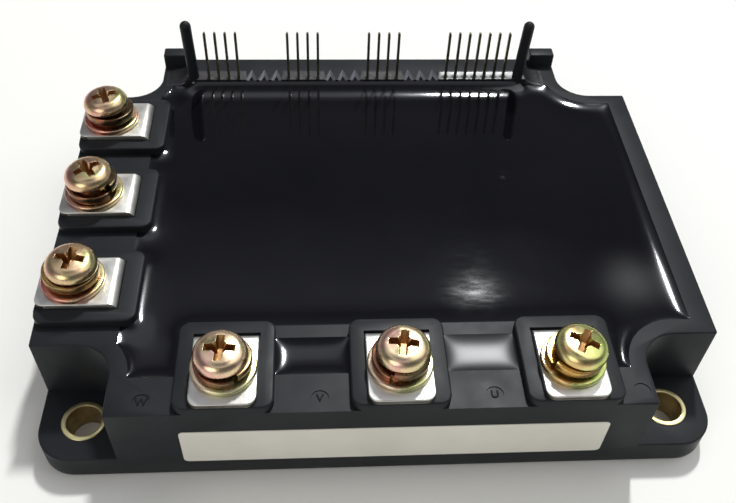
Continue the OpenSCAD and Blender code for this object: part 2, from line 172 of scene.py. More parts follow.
def round_edges(obj: Piece, width_mm: float, steps: int, least_deg: float) -> None:
    """Round all edges of a solid that are sharper than an angle.

    Args:
        obj: the object to change.
        width_mm: width of the rounding.
        steps: number of its segments.
        least_deg: the angle.
    """
    modify(
        obj, "BEVEL", width=width_mm * MM, segments=steps, limit_method="ANGLE",
        angle_limit=math.radians(least_deg), use_clamp_overlap=True,
    )


def discard(obj: Piece) -> None:
    """Remove an object that has been used up."""
    bpy.data.objects.remove(obj, do_unlink=True)


def combine(obj: Piece, tool: Piece, operation: str) -> None:
    """Join, cut or intersect a solid with a tool, which is used up."""
    modify(obj, "BOOLEAN", operation=operation, solver="EXACT", object=tool)
    discard(tool)


def settle(obj: Piece) -> None:
    """Put an object's place, turn and size into its mesh."""
    pick(obj)
    bpy.ops.object.transform_apply(location=True, rotation=True, scale=True)


def smooth(obj: Piece, angle_deg: float = 35.0) -> None:
    """Shade a piece smooth, with edges sharper than an angle kept."""
    pick(obj)
    bpy.ops.object.shade_smooth_by_angle(angle=math.radians(angle_deg))


def tidy_mesh(obj: Piece, distance_mm: float = 0.002) -> None:
    """Merge doubled points and turn all faces outwards.

    Args:
        obj: the object to change.
        distance_mm: distance under which points are merged.
    """
    with editing(obj, Part.VERT):
        bpy.ops.mesh.remove_doubles(threshold=distance_mm * MM)
        bpy.ops.mesh.normals_make_consistent(inside=False)


def copy_mesh(obj: Piece, name: str, where: Matrix | None = None) -> Piece:
    """Copy a piece with a mesh of its own.

    Args:
        obj: the piece to copy.
        name: the copy's name.
        where: the copy's place and turn, if it moves.

    Returns:
        The copy, with its place in its mesh.
    """
    twin = obj.copy()
    twin.data = obj.data.copy()
    twin.name = twin.data.name = name
    bpy.context.scene.collection.objects.link(twin)
    if where is not None:
        twin.data.transform(where)
    return twin


def copy_node(nodes: Nodes, node: str, name: str, merge_mm: float = 0.001, flat_deg: float = 0.5) -> Piece:
    """Copy a CAD node as a clean mesh of flat faces.

    Args:
        nodes: the CAD nodes by name.
        node: the node to copy.
        name: the new piece's name.
        merge_mm: distance under which points are merged.
        flat_deg: angle under which faces are joined.

    Returns:
        A free object at the origin with merged points.
    """
    piece = copy_mesh(nodes[node], name)
    for key in [key for key in piece.keys() if key.startswith("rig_")]:
        del piece[key]
    piece.parent = None
    piece.matrix_world = Matrix.Identity(4)
    piece.data.materials.clear()
    pick(piece)
    bpy.ops.mesh.customdata_custom_splitnormals_clear()
    with editing(piece, Part.VERT):
        bpy.ops.mesh.remove_doubles(threshold=merge_mm * MM)
        bpy.ops.mesh.dissolve_limited(angle_limit=math.radians(flat_deg))
    return piece


def add_block(size: Triple, middle: Triple) -> Piece:
    """Add a block of a size at a place, in millimetres.

    Args:
        size: length along each axis.
        middle: place of its middle.

    Returns:
        The block, with its place in its mesh.
    """
    deselect()
    bpy.ops.mesh.primitive_cube_add(size=1.0, location=(0.0, 0.0, 0.0))
    block = bpy.context.object
    block.scale = [part * MM for part in size]
    block.location = [part * MM for part in middle]
    settle(block)
    return block


def gridded_block(name: str, low: Pair, high: Pair, step: float, top: float, depth: float) -> Piece:
    """Block with a fine grid on top.

    Args:
        name: the block's name.
        low: its least x and y, in millimetres.
        high: its greatest x and y.
        step: size of the grid's squares.
        top: height of its top.
        depth: height of the block.

    Returns:
        A closed block.
    """
    size = [high[i] - low[i] for i in range(2)]
    deselect()
    bpy.ops.mesh.primitive_grid_add(
        x_subdivisions=round(size[0] / step), y_subdivisions=round(size[1] / step),
        size=1.0, location=(0.0, 0.0, 0.0),
    )
    block = bpy.context.object
    block.name = block.data.name = name
    block.scale = (size[0] * MM, size[1] * MM, 1.0)
    block.location = ((low[0] + high[0]) / 2 * MM, (low[1] + high[1]) / 2 * MM, top * MM)
    settle(block)
    with editing(block, Part.EDGE, lambda edge: edge.is_boundary):
        bpy.ops.mesh.extrude_region_move(TRANSFORM_OT_translate={"value": (0.0, 0.0, -depth * MM)})
        bpy.ops.mesh.edge_face_add()
        bpy.ops.mesh.select_all(action="SELECT")
        bpy.ops.mesh.normals_make_consistent(inside=False)
    return block


def read_points(obj: Piece) -> np.ndarray:
    """Points of a mesh, one row for each.

    Args:
        obj: the mesh object.

    Returns:
        The points, in metres.
    """
    points = np.empty(len(obj.data.vertices) * 3)
    obj.data.vertices.foreach_get("co", points)
    return points.reshape(-1, 3)


def write_points(obj: Piece, points: np.ndarray) -> None:
    """Put moved points back into a mesh."""
    obj.data.vertices.foreach_set("co", points.ravel())
    obj.data.update()


def drape(obj: Piece, top: float, rise: Callable[[np.ndarray, np.ndarray], np.ndarray]) -> None:
    """Raise the top of a gridded block by a height over its plan, in millimetres.

    Args:
        obj: the block.
        top: height of its flat top.
        rise: gives the height at each x and y.
    """
    points = read_points(obj)
    on_top = points[:, 2] > (top - DRAPE_SLACK) * MM
    points[on_top, 2] += rise(points[on_top, 0] / MM, points[on_top, 1] / MM) * MM
    write_points(obj, points)
    smooth(obj, SOFT_DEG)


def ease(value: np.ndarray) -> np.ndarray:
    """Smooth step from 0 to 1."""
    share = np.clip(value, 0.0, 1.0)
    return share * share * (3.0 - 2.0 * share)


def mount_piece(
    piece: Piece, material: Material, slot: str, *nodes: str, second: Material | None = None
) -> None:
    """Dress a piece, fix it to the module and hide the CAD nodes that it stands for.

    Args:
        piece: the finished mesh.
        material: its finish.
        slot: not used.
        nodes: the CAD nodes that it replaces.
        second: finish of the faces marked with slot 1.
    """
    marks = [face.material_index for face in piece.data.polygons]
    piece.data.materials.clear()
    piece.data.materials.append(material)
    if second is not None:
        piece.data.materials.append(second)
        piece.data.polygons.foreach_set("material_index", marks)
    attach(piece, ROOT)
    if nodes:
        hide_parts(*nodes)
    LOG.info("%s: %d faces", piece.name, len(piece.data.polygons))


# Heights and places shared by the pieces


RESIN_LEVEL = 16.8
RIM_TOP = 17.4
COMB_TOP = 18.9
COMB_ENDS: Pair = (-36.35, 34.21)
PIN_GROUP_PITCH = 16.28
PLATE_TOP = 19.9
PLATE_LENGTH = 13.0
CASE_FRONT = -44.0
HOLES: tuple[Pair, ...] = ((-47.5, -37.0), (47.5, -37.0), (-47.5, 37.0), (47.5, 37.0))
MARK_Y = -41.6
MARKS: tuple[tuple[str, float], ...] = (("w", -36.0), ("v", -9.7), ("u", 16.6), ("", 39.2))


# Finishes


NOISE_MIDDLE: Pair = (0.3, 0.7)


class Tree:
    """Node tree with short ways to add and join nodes."""

    def __init__(self, tree: bpy.types.NodeTree) -> None:
        """Hold a tree."""
        self.tree = tree

    def join(self, source: Socket, target: Socket) -> None:
        """Link two sockets."""
        self.tree.links.new(source, target)

    def node(
        self, kind: str, inputs: dict[str | int, object], out: str | int = 0, **settings: object
    ) -> Socket:
        """Add a node.

        Args:
            kind: Blender's name of the node, after ShaderNode.
            inputs: the value to set or the socket to join at each input.
            out: the output that is wanted.
            settings: the node's own properties.

        Returns:
            The output.
        """
        node = self.tree.nodes.new(f"ShaderNode{kind}")
        for key, value in settings.items():
            setattr(node, key, value)
        for key, value in inputs.items():
            if isinstance(value, Socket):
                self.join(value, node.inputs[key])
            else:
                node.inputs[key].default_value = value
        return node.outputs[out]

    def along(self, place: Socket, axis: str) -> Socket:
        """One coordinate of a place."""
        return self.node("SeparateXYZ", {"Vector": place}, axis)

    def ramp(self, value: Socket, stops: list[tuple[float, Colour]]) -> Socket:
        """Colours spread over a value.

        Args:
            value: the value from 0 to 1.
            stops: places and colours, in order.

        Returns:
            The colour.
        """
        colour = self.node("ValToRGB", {"Fac": value}, "Color")
        elements = colour.node.color_ramp.elements
        while len(elements) < len(stops):
            elements.new(0.5)
        for element, (place, tone) in zip(elements, stops):
            element.position = place
            element.color = (*tone, 1.0)
        return colour


class Graph(Tree):
    """Node tree of one material, with a principled shader."""

    def __init__(self, name: str) -> None:
        """Start the material.

        Args:
            name: the material's name.
        """
        self.material = bpy.data.materials.new(name)
        self.material.use_nodes = True
        super().__init__(self.material.node_tree)
        self.inputs = self.tree.nodes["Principled BSDF"].inputs
        self.place = self.node("TexCoord", {}, "Object")

    def put(self, socket: str, value: float | Colour) -> None:
        """Set a value that is the same all over on the shader's own socket."""
        self.inputs[socket].default_value = (*value, 1.0) if isinstance(value, tuple) else value

    def noise(self, size_mm: float, detail: float = 3.0, stretch: Triple = (1.0, 1.0, 1.0)) -> Socket:
        """Noise with patches of a given size.

        Args:
            size_mm: size of the patches.
            detail: number of finer layers.
            stretch: scale along each axis, to draw the patches out.

        Returns:
            The noise's value.
        """
        place = self.node("Mapping", {"Vector": self.place, "Scale": stretch})
        inputs = {"Vector": place, "Scale": 1.0 / (size_mm * MM), "Detail": detail}
        return self.node("TexNoise", inputs, "Fac")

    def spread(self, value: Socket, low: float, high: float) -> Socket:
        """Map the middle of a noise onto a range."""
        ends = {"From Min": NOISE_MIDDLE[0], "From Max": NOISE_MIDDLE[1], "To Min": low, "To Max": high}
        return self.node("MapRange", {"Value": value, **ends})

    def bump(self, height: Socket, depth_mm: float, strength: float = 0.6) -> None:
        """Raise the surface by a height, on top of any bump it has.

        Args:
            height: the pattern to raise.
            depth_mm: height of the pattern.
            strength: share of the bump that shows.
        """
        normal = self.node("Bump", {"Height": height, "Strength": strength, "Distance": depth_mm * MM})
        for link in list(self.inputs["Normal"].links):
            self.join(link.from_socket, normal.node.inputs["Normal"])
        self.join(normal, self.inputs["Normal"])


@dataclass(frozen=True)
class Finish:
    """Mottled surface with grain and uneven gloss."""

    name: str
    tones: tuple[Colour, ...]
    gloss: Pair
    metallic: float = 0.0
    ior: float = 1.5
    mottle_mm: float = 6.0
    grain_mm: float = 0.3
    grain_depth_mm: float = 0.01
    specular: float = 0.5
    tone_start: float = 0.32
    tone_range: float = 0.36
    sheen_share: float = 0.45
    sheen_detail: float = 5.0
    grain_detail: float = 4.0

    def make(self) -> Material:
        """Build the material.

        Returns:
            A node material on Object coordinates.
        """
        graph = Graph(self.name)
        graph.put("Metallic", self.metallic)
        graph.put("IOR", self.ior)
        graph.put("Specular IOR Level", self.specular)
        step = self.tone_range / max(len(self.tones) - 1, 1)
        stops = [(self.tone_start + step * i, tone) for i, tone in enumerate(self.tones)]
        graph.join(graph.ramp(self.pattern(graph), stops), graph.inputs["Base Color"])
        graph.join(self.sheen(graph), graph.inputs["Roughness"])
        graph.bump(graph.noise(self.grain_mm, self.grain_detail), self.grain_depth_mm)
        self.extras(graph)
        return graph.material

    def pattern(self, graph: Graph) -> Socket:
        """Value from 0 to 1 that spreads the tones; a plain finish has patches."""
        return graph.noise(self.mottle_mm)

    def sheen(self, graph: Graph) -> Socket:
        """Roughness, uneven all over in a plain finish."""
        return graph.spread(graph.noise(self.mottle_mm * self.sheen_share, self.sheen_detail), *self.gloss)

    def extras(self, graph: Graph) -> None:
        """Add what a special finish has on top; a plain finish adds nothing."""


@dataclass(frozen=True)
class ScratchedFinish(Finish):
    """Finish with long fine scratches."""

    scratch_mm: float = 0.12
    scratch_depth_mm: float = 0.004
    scratch_detail: float = 2.0
    scratch_stretch: Triple = (0.05, 1.0, 1.0)

    def extras(self, graph: Graph) -> None:
        """Add the scratches as a second bump."""
        marks = graph.noise(self.scratch_mm, self.scratch_detail, self.scratch_stretch)
        graph.bump(marks, self.scratch_depth_mm)


class PatchKind(Enum):
    """How a patch of the resin is dulled."""

    SCUFFED = "fine marks that fade out"
    HAZY = "an even haze that fades out"
    SQUARE = "an evenly dull square"


@dataclass(frozen=True)
class Patch:
    """Dull patch of the resin, in millimetres in plan."""

    middle: Pair
    reach: Pair
    rough: float
    kind: PatchKind = PatchKind.SCUFFED
    edge: Pair = (0.99, 1.01)

    def dull(self, graph: Graph, marks: Socket) -> Socket:
        """Extra roughness of the patch.

        Args:
            graph: the material's node tree.
            marks: pattern of the scuff marks.

        Returns:
            The extra roughness, 0 outside the patch.
        """
        middle = (*(part * MM for part in self.middle), 0.0)
        scale = (*(1.0 / (part * MM) for part in self.reach), 0.0)
        away = graph.node("VectorMath", {0: graph.place, 1: middle}, operation="SUBTRACT")
        flat = graph.node("VectorMath", {0: away, 1: scale}, operation="MULTIPLY")
        ends = {"To Min": self.rough, "To Max": 0.0}
        if self.kind is PatchKind.SQUARE:
            size = graph.node("VectorMath", {0: flat}, operation="ABSOLUTE")
            sides = {0: graph.along(size, "X"), 1: graph.along(size, "Y")}
            side = graph.node("Math", sides, operation="MAXIMUM")
            inside = {"Value": side, "From Min": self.edge[0], "From Max": self.edge[1]}
            return graph.node("MapRange", {**inside, **ends})
        length = graph.node("VectorMath", {0: flat}, "Value", operation="LENGTH")
        fade = graph.node("MapRange", {"Value": length, **ends}, interpolation_type="SMOOTHSTEP")
        if self.kind is PatchKind.HAZY:
            return fade
        return graph.node("Math", {0: fade, 1: marks}, operation="MULTIPLY")


@dataclass(frozen=True)
class ResinFinish(Finish):
    """Polished resin, duller where it climbs the walls and in a few patches."""

    climb_mm: Pair = (0.02, 0.35)
    climb_rough: float = 0.058
    scuff_mm: float = 0.9
    scuff_detail: float = 4.0
    scuff_range: Pair = (0.2, 1.0)
    scuff_stretch: Triple = (0.3, 1.0, 1.0)
    patches: tuple[Patch, ...] = ()

    def sheen(self, graph: Graph) -> Socket:
        """Roughness that rises with the height of the resin and in the patches.

        Args:
            graph: the material's node tree.

        Returns:
            The roughness.
        """
        low, high = ((RESIN_LEVEL + part) * MM for part in self.climb_mm)
        ends = {"From Min": low, "From Max": high, "To Max": self.climb_rough}
        height = {"Value": graph.along(graph.place, "Z"), **ends}
        climb = graph.node("MapRange", height, interpolation_type="SMOOTHSTEP")
        total = graph.node("Math", {0: super().sheen(graph), 1: climb})
        scuffs = graph.noise(self.scuff_mm, self.scuff_detail, self.scuff_stretch)
        marks = graph.spread(scuffs, *self.scuff_range)
        for patch in self.patches:
            total = graph.node("Math", {0: total, 1: patch.dull(graph, marks)})
        return total


@dataclass(frozen=True)
class ZincFinish(Finish):
    """Passivated zinc whose tint runs from the left to the right of one fastener."""

    middle_mm: float = 0.0
    reach_mm: float = 4.6
    run: float = 0.17

    def pattern(self, graph: Graph) -> Socket:
        """Patches pushed along X.

        Args:
            graph: the material's node tree.

        Returns:
            The value that spreads the tones.
        """
        low, high = (self.middle_mm - self.reach_mm) * MM, (self.middle_mm + self.reach_mm) * MM
        ends = {"From Min": low, "From Max": high, "To Min": -self.run, "To Max": self.run}
        across = graph.node("MapRange", {"Value": graph.along(graph.place, "X"), **ends})
        return graph.node("Math", {0: graph.noise(self.mottle_mm), 1: across})


class Tone(Enum):
    """Tint of the yellow passivation on a screw and its washers; the two spring tints are darkened as painted
    shade.
    """

    CREAM = ((0.80, 0.48, 0.39), (0.82, 0.61, 0.40), (0.80, 0.63, 0.37), (0.60, 0.62, 0.29))
    PALE = ((0.80, 0.62, 0.44), (0.82, 0.72, 0.48), (0.78, 0.73, 0.42), (0.62, 0.64, 0.29))
    ROSE = ((0.76, 0.26, 0.20), (0.80, 0.40, 0.29), (0.82, 0.56, 0.36), (0.60, 0.52, 0.26))
    OLIVE = ((0.74, 0.50, 0.22), (0.76, 0.67, 0.30), (0.66, 0.65, 0.24), (0.47, 0.55, 0.17))
    BROWN = ((0.70, 0.38, 0.29), (0.76, 0.53, 0.33), (0.72, 0.52, 0.30), (0.54, 0.50, 0.23))
    # Spring washer tints: the plating's own gold and red-brown, darkened as painted shade under the screw
    # heads.
    GOLD = ((0.62, 0.38, 0.11), (0.48, 0.29, 0.10), (0.36, 0.22, 0.09), (0.28, 0.20, 0.08))
    RUST = ((0.36, 0.12, 0.07), (0.30, 0.16, 0.09), (0.20, 0.13, 0.07), (0.12, 0.09, 0.05))


def zinc(tone: Tone, place: str, middle_mm: float) -> Finish:
    """Yellow zinc plating of one screw or washer.

    Args:
        tone: the tint that the plating has there.
        place: name of the fastener.
        middle_mm: its place along X.

    Returns:
        The finish.
    """
    return ZincFinish(
        f"yellow_zinc_{place}", tone.value, (0.22, 0.34), metallic=1.0,
        mottle_mm=3.2, grain_mm=0.5, grain_depth_mm=0.012, middle_mm=middle_mm,
    )


CASE_PLASTIC = Finish(
    "case_plastic", ((0.0145, 0.0160, 0.0180), (0.0195, 0.0212, 0.0238)), (0.39, 0.47),
    mottle_mm=9.0, grain_mm=0.25, grain_depth_mm=0.012, specular=0.14,
)
# Darker than the case: painted shade that stands in for the shadows round the raised letters.
LETTER_PAINTED_SHADE = Finish(
    "letter_shade", ((0.0055, 0.0060, 0.0070), (0.0080, 0.0086, 0.0098)), (0.50, 0.60),
    mottle_mm=2.0, grain_mm=0.25, grain_depth_mm=0.012, specular=0.1,
)
POURED_RESIN = ResinFinish(
    "poured_resin", ((0.0030, 0.0030, 0.0045), (0.0045, 0.0044, 0.0060)), (0.036, 0.050), ior=1.55,
    mottle_mm=16.0, grain_mm=7.0, grain_depth_mm=0.001,
    patches=(
        Patch((16.0, -22.6), (8.5, 8.0), 0.060),
        Patch((16.6, -13.0), (6.5, 15.0), 0.024),
        Patch((44.0, -19.5), (10.5, 12.0), 0.15, PatchKind.HAZY),
        Patch((15.5, -34.2), (13.0, 5.0), 0.32, PatchKind.SQUARE),
        Patch((-10.8, -34.2), (13.0, 5.0), 0.04, PatchKind.SQUARE),
    ),
)
BEAD_RESIN = Finish(
    "bead_resin", ((0.026, 0.025, 0.024), (0.036, 0.035, 0.032)), (0.30, 0.38), ior=1.55,
    mottle_mm=3.0, grain_mm=1.2, grain_depth_mm=0.004,
)
LAND_RESIN = Finish(
    "land_resin", ((0.010, 0.010, 0.012), (0.016, 0.016, 0.018)), (0.28, 0.36), ior=1.55,
    mottle_mm=3.0, grain_mm=1.2, grain_depth_mm=0.004,
)
DULL_RESIN = Finish(
    "dull_resin", ((0.025, 0.023, 0.024), (0.038, 0.035, 0.036)), (0.50, 0.64),
    mottle_mm=2.0, grain_mm=0.6, grain_depth_mm=0.01, specular=0.35,
)
# Light grey on dark resin: a painted sheen that stands in for light caught by the resin along the groove
# edges.
GROOVE_PAINTED_SHEEN = Finish(
    "groove_skin", ((0.060, 0.060, 0.070), (0.085, 0.085, 0.098)), (0.48, 0.60),
    mottle_mm=1.2, grain_mm=0.5, grain_depth_mm=0.01, specular=0.4,
)
TIN_PLATE = ScratchedFinish(
    "tin_plate", ((0.63, 0.62, 0.575), (0.70, 0.69, 0.64)), (0.36, 0.46), metallic=1.0,
    mottle_mm=4.0, grain_mm=0.35, grain_depth_mm=0.006,
)
# Near-black metal for the plates' cut sides: painted shade on the edges and in the gap beside each plate.
CUT_EDGE_SHADE = Finish(
    "cut_edge", ((0.10, 0.09, 0.08), (0.16, 0.15, 0.13)), (0.45, 0.6), metallic=1.0,
    mottle_mm=1.5, grain_mm=0.2, grain_depth_mm=0.01,
)
# Dark brown for the inside of a screw's cross recess: painted shade inside the recess.
RECESS_PAINTED_SHADE = Finish(
    "recess_dark", ((0.26, 0.13, 0.06), (0.42, 0.25, 0.10)), (0.32, 0.45), metallic=1.0,
    mottle_mm=1.5, grain_mm=0.4, grain_depth_mm=0.01,
)
COLLAR_BRASS = Finish(
    "collar_brass", ((0.66, 0.58, 0.28), (0.82, 0.75, 0.42)), (0.26, 0.40), metallic=1.0,
    mottle_mm=2.5, grain_mm=0.3, grain_depth_mm=0.01,
)
# Darker brass for the bore of a collar: painted shade inside the hole.
COLLAR_BORE_SHADE = Finish(
    "collar_bore", ((0.36, 0.27, 0.12), (0.56, 0.43, 0.21)), (0.40, 0.55), metallic=1.0,
    mottle_mm=2.0, grain_mm=0.3, grain_depth_mm=0.01,
)
PIN_BRONZE = Finish(
    "pin_bronze", ((0.19, 0.18, 0.12), (0.29, 0.265, 0.18)), (0.32, 0.48), metallic=1.0,
    mottle_mm=2.0, grain_mm=0.2, grain_depth_mm=0.004,
)
BASE_NICKEL = ScratchedFinish(
    "base_nickel", ((0.56, 0.54, 0.50), (0.68, 0.66, 0.62)), (0.26, 0.40), metallic=1.0,
    mottle_mm=12.0, grain_mm=0.4, grain_depth_mm=0.004,
)
LABEL_FILM = Finish(
    "label_film", ((0.74, 0.715, 0.63), (0.80, 0.775, 0.69)), (0.34, 0.44),
    mottle_mm=8.0, grain_mm=0.2, grain_depth_mm=0.003,
)
NUT_ZINC = Finish("nut_zinc", ((0.55, 0.55, 0.53), (0.66, 0.66, 0.64)), (0.3, 0.45), metallic=1.0)
BOARD_GREEN = Finish("board_green", ((0.03, 0.12, 0.06), (0.05, 0.16, 0.08)), (0.35, 0.5))
DRIVER_BLACK = Finish("driver_black", ((0.02, 0.02, 0.022), (0.03, 0.03, 0.032)), (0.5, 0.65))
GEL_CLEAR = Finish("gel_clear", ((0.70, 0.76, 0.78), (0.78, 0.84, 0.86)), (0.15, 0.25))
SUBSTRATE_WHITE = Finish("substrate_white", ((0.78, 0.76, 0.70), (0.86, 0.84, 0.78)), (0.4, 0.55))
SILICON_GREY = Finish("silicon_grey", ((0.28, 0.30, 0.33), (0.40, 0.42, 0.45)), (0.15, 0.25), metallic=0.6)
BOND_ALUMINIUM = Finish("bond_aluminium", ((0.74, 0.74, 0.75), (0.84, 0.84, 0.85)), (0.3, 0.4), metallic=1.0)


# Pieces of the module


@dataclass(frozen=True)
class Terminal:
    """One screw terminal: its place and how its fasteners sit."""

    name: str
    x: float
    y: float
    turn_deg: float
    recess_deg: float
    split_deg: float
    tone: Tone
    washer_tone: Tone
    shift: float = 0.0
    lean_deg: float = 0.0
    lift: float = 0.0
    # The spring washer's tint is darkened as painted shade under the head.
    spring_tone: Tone = Tone.RUST

    @property
    def node(self) -> str:
        """CAD node of the bent plate."""
        return f"terminal_{self.name}"


FRONT_TERMINALS: tuple[Terminal, ...] = (
    Terminal("w", -23.9, -37.7, 0.0, -3.0, -60.0, Tone.CREAM, Tone.PALE, -0.2),
    Terminal("v", 2.4, -37.7, 0.0, -9.0, -112.0, Tone.CREAM, Tone.PALE, 0.25, lift=0.4),
    Terminal("u", 28.7, -37.7, 0.0, -27.0, -150.0, Tone.OLIVE, Tone.OLIVE, 0.25, 6.0, spring_tone=Tone.GOLD),
)
SIDE_TERMINALS: tuple[Terminal, ...] = (
    Terminal("n", -48.9, -20.1, -90.0, -98.0, 150.0, Tone.BROWN, Tone.ROSE, 0.25, 2.0, 0.3, Tone.GOLD),
    Terminal("p", -48.9, 0.3, -90.0, -55.0, -35.0, Tone.BROWN, Tone.BROWN, -0.1, -2.0, 0.6),
    Terminal("b", -48.9, 20.7, -90.0, -70.0, 120.0, Tone.BROWN, Tone.ROSE, -0.25, -3.0, 0.5),
)
TERMINALS: tuple[Terminal, ...] = FRONT_TERMINALS + SIDE_TERMINALS


@dataclass
class CaseShell:
    """Moulded case with softened edges and letters in its round marks."""

    # Rounded edges, and the zones in which edges stay sharp
    edge_round: float = 0.3
    round_steps: int = 3
    corner_deg: float = 50.0
    foot_top: float = 0.4
    foot_x: float = 48.0
    foot_y: float = 43.0
    flange_top: float = 5.0
    below_flange: float = 0.1
    above_flange: float = 0.2
    below_resin: float = 0.2
    comb_x: Pair = (-36.1, 34.0)
    comb_y: Pair = (34.2, 38.9)
    comb_foot: float = 0.5
    hole_zone: float = 3.8
    mark_zone: float = 1.6
    pool_x: Pair = (-41.3, 51.0)
    pool_y: Pair = (-37.6, 34.8)
    pool_zone: float = 1.0
    notch: Triple = (47.4, 37.0, 7.4)
    seat_half: float = 5.7
    seat_y: Pair = (-6.0, 8.0)
    # Slots behind the bends of the front plates
    slot: Triple = (10.3, 0.6, 2.2)
    slot_sunk: float = 1.0
    # Guide pins: place and lean of each
    guides: tuple[Triple, ...] = ((-34.75, 35.65, -0.35), (32.61, 35.65, 0.5))
    guide_reach: float = 1.4
    guide_foot: float = 1.0
    # Letters in the round marks
    letter_size: float = 1.8
    letter_bold: float = 0.03
    letter_proud: float = 0.13
    mark_floor: float = 17.25

    def build(self, nodes: Nodes) -> None:
        """Model the case and its letters and fix them to the module.

        Args:
            nodes: the CAD nodes by name.
        """
        shell = copy_node(nodes, "case_frame", "case_shell")
        for x, y, lean in self.guides:
            self.lean_guide(shell, x, y, lean)
        with editing(shell, Part.EDGE, self.is_moulded_edge):
            bpy.ops.mesh.bevel(
                offset=self.edge_round * MM, segments=self.round_steps, profile=0.5, clamp_overlap=False
            )
        for terminal in FRONT_TERMINALS:
            combine(shell, self.slot_cutter(terminal), "DIFFERENCE")
        smooth(shell)
        mount_piece(shell, CASE_PLASTIC.make(), "case_plastic", "case_frame")
        # The letters get a darker colour that paints the shade round them.
        shade = LETTER_PAINTED_SHADE.make()
        for letter, x in MARKS:
            if letter:
                mount_piece(self.letter(letter, x), shade, "case_plastic")

    def lean_guide(self, shell: Piece, x: float, y: float, lean: float) -> None:
        """Tip one guide pin a little to the side, as it stands on the real module.

        Args:
            shell: the case.
            x: place of the pin.
            y: place of the pin.
            lean: how far its top moves along X.
        """
        foot = (COMB_TOP + self.guide_foot) * MM

        def in_guide(vert: bmesh.types.BMVert) -> bool:
            """True for a point of the pin above its foot."""
            return math.hypot(vert.co.x / MM - x, vert.co.y / MM - y) < self.guide_reach and vert.co.z > foot

        with editing(shell, Part.VERT, in_guide):
            bpy.ops.transform.translate(value=(lean * MM, 0.0, 0.0))

    def slot_cutter(self, terminal: Terminal) -> Piece:
        """Cutter that widens the slot behind the bend of a front terminal's plate."""
        y = CASE_FRONT + PLATE_LENGTH + self.slot[1] / 2
        return add_block(self.slot, (terminal.x, y, PLATE_TOP - self.slot_sunk))

    def is_moulded_edge(self, edge: bmesh.types.BMEdge) -> bool:
        """True for an outer edge that a mould would leave slightly round.

        Args:
            edge: an edge of the case.

        Returns:
            Whether it is to be rounded.
        """
        if not is_convex(edge, self.corner_deg):
            return False
        at = middle_mm(edge)
        low, high = sorted(vert.co.z / MM for vert in edge.verts)
        if high < self.flange_top - self.below_flange:
            return high < self.foot_top and (abs(at.x) > self.foot_x or abs(at.y) > self.foot_y)
        if self.flange_top + self.above_flange < low and high < RESIN_LEVEL - self.below_resin:
            return False
        return not (self.in_comb(at) or self.near_opening(at) or self.faces_pool(at) or self.in_seat(at))

    def in_comb(self, at: Vector) -> bool:
        """True in the comb that holds the pins."""
        inside = self.comb_x[0] < at.x < self.comb_x[1] and self.comb_y[0] < at.y < self.comb_y[1]
        return inside and at.z > RESIN_LEVEL - self.comb_foot

    def near_opening(self, at: Vector) -> bool:
        """True at a mounting hole or a round mark."""
        at_hole = any(math.hypot(at.x - x, at.y - y) < self.hole_zone for x, y in HOLES)
        return at_hole or any(math.hypot(at.x - x, at.y - MARK_Y) < self.mark_zone for _, x in MARKS)

    def faces_pool(self, at: Vector) -> bool:
        """True on the inner side of the rim, where the resin meets the case.

        Args:
            at: the place, in millimetres.

        Returns:
            Whether the place is there.
        """
        inside = self.pool_x[0] < at.x < self.pool_x[1] and self.pool_y[0] < at.y < self.pool_y[1]
        if not inside or at.z >= RIM_TOP + self.pool_zone:
            return False
        x, y = abs(at.x), abs(at.y)
        centre_x, centre_y, between = self.notch
        if x > centre_x:
            return y < centre_y - between
        if y > centre_y:
            return x < centre_x - between
        return math.hypot(centre_x - x, centre_y - y) > between

    def in_seat(self, at: Vector) -> bool:
        """True inside a slot or nut pocket that a terminal plate covers.

        Args:
            at: the place, in millimetres.

        Returns:
            Whether the place is there.
        """
        for terminal in TERMINALS:
            turn = Matrix.Rotation(math.radians(-terminal.turn_deg), 2)
            across, inwards = turn @ Vector((at.x - terminal.x, at.y - terminal.y))
            if abs(across) < self.seat_half and self.seat_y[0] < inwards < self.seat_y[1]:
                return True
        return False

    def letter(self, letter: str, x: float) -> Piece:
        """Model one raised letter inside its round mark.

        Args:
            letter: the terminal's letter.
            x: place of the mark along the front.

        Returns:
            A closed mesh.
        """
        deselect()
        bpy.ops.object.text_add(location=(0.0, 0.0, 0.0))
        text = bpy.context.object
        text.data.body = letter.upper()
        text.data.size = self.letter_size * MM
        text.data.align_x = "CENTER"
        text.data.align_y = "CENTER"
        text.data.extrude = self.letter_proud / 2 * MM
        text.data.offset = self.letter_bold * MM
        bpy.ops.object.convert(target="MESH")
        piece = bpy.context.object
        piece.name = piece.data.name = f"letter_{letter}"
        piece.location = (x * MM, MARK_Y * MM, (self.mark_floor + self.letter_proud / 2) * MM)
        settle(piece)
        tidy_mesh(piece)
        return piece


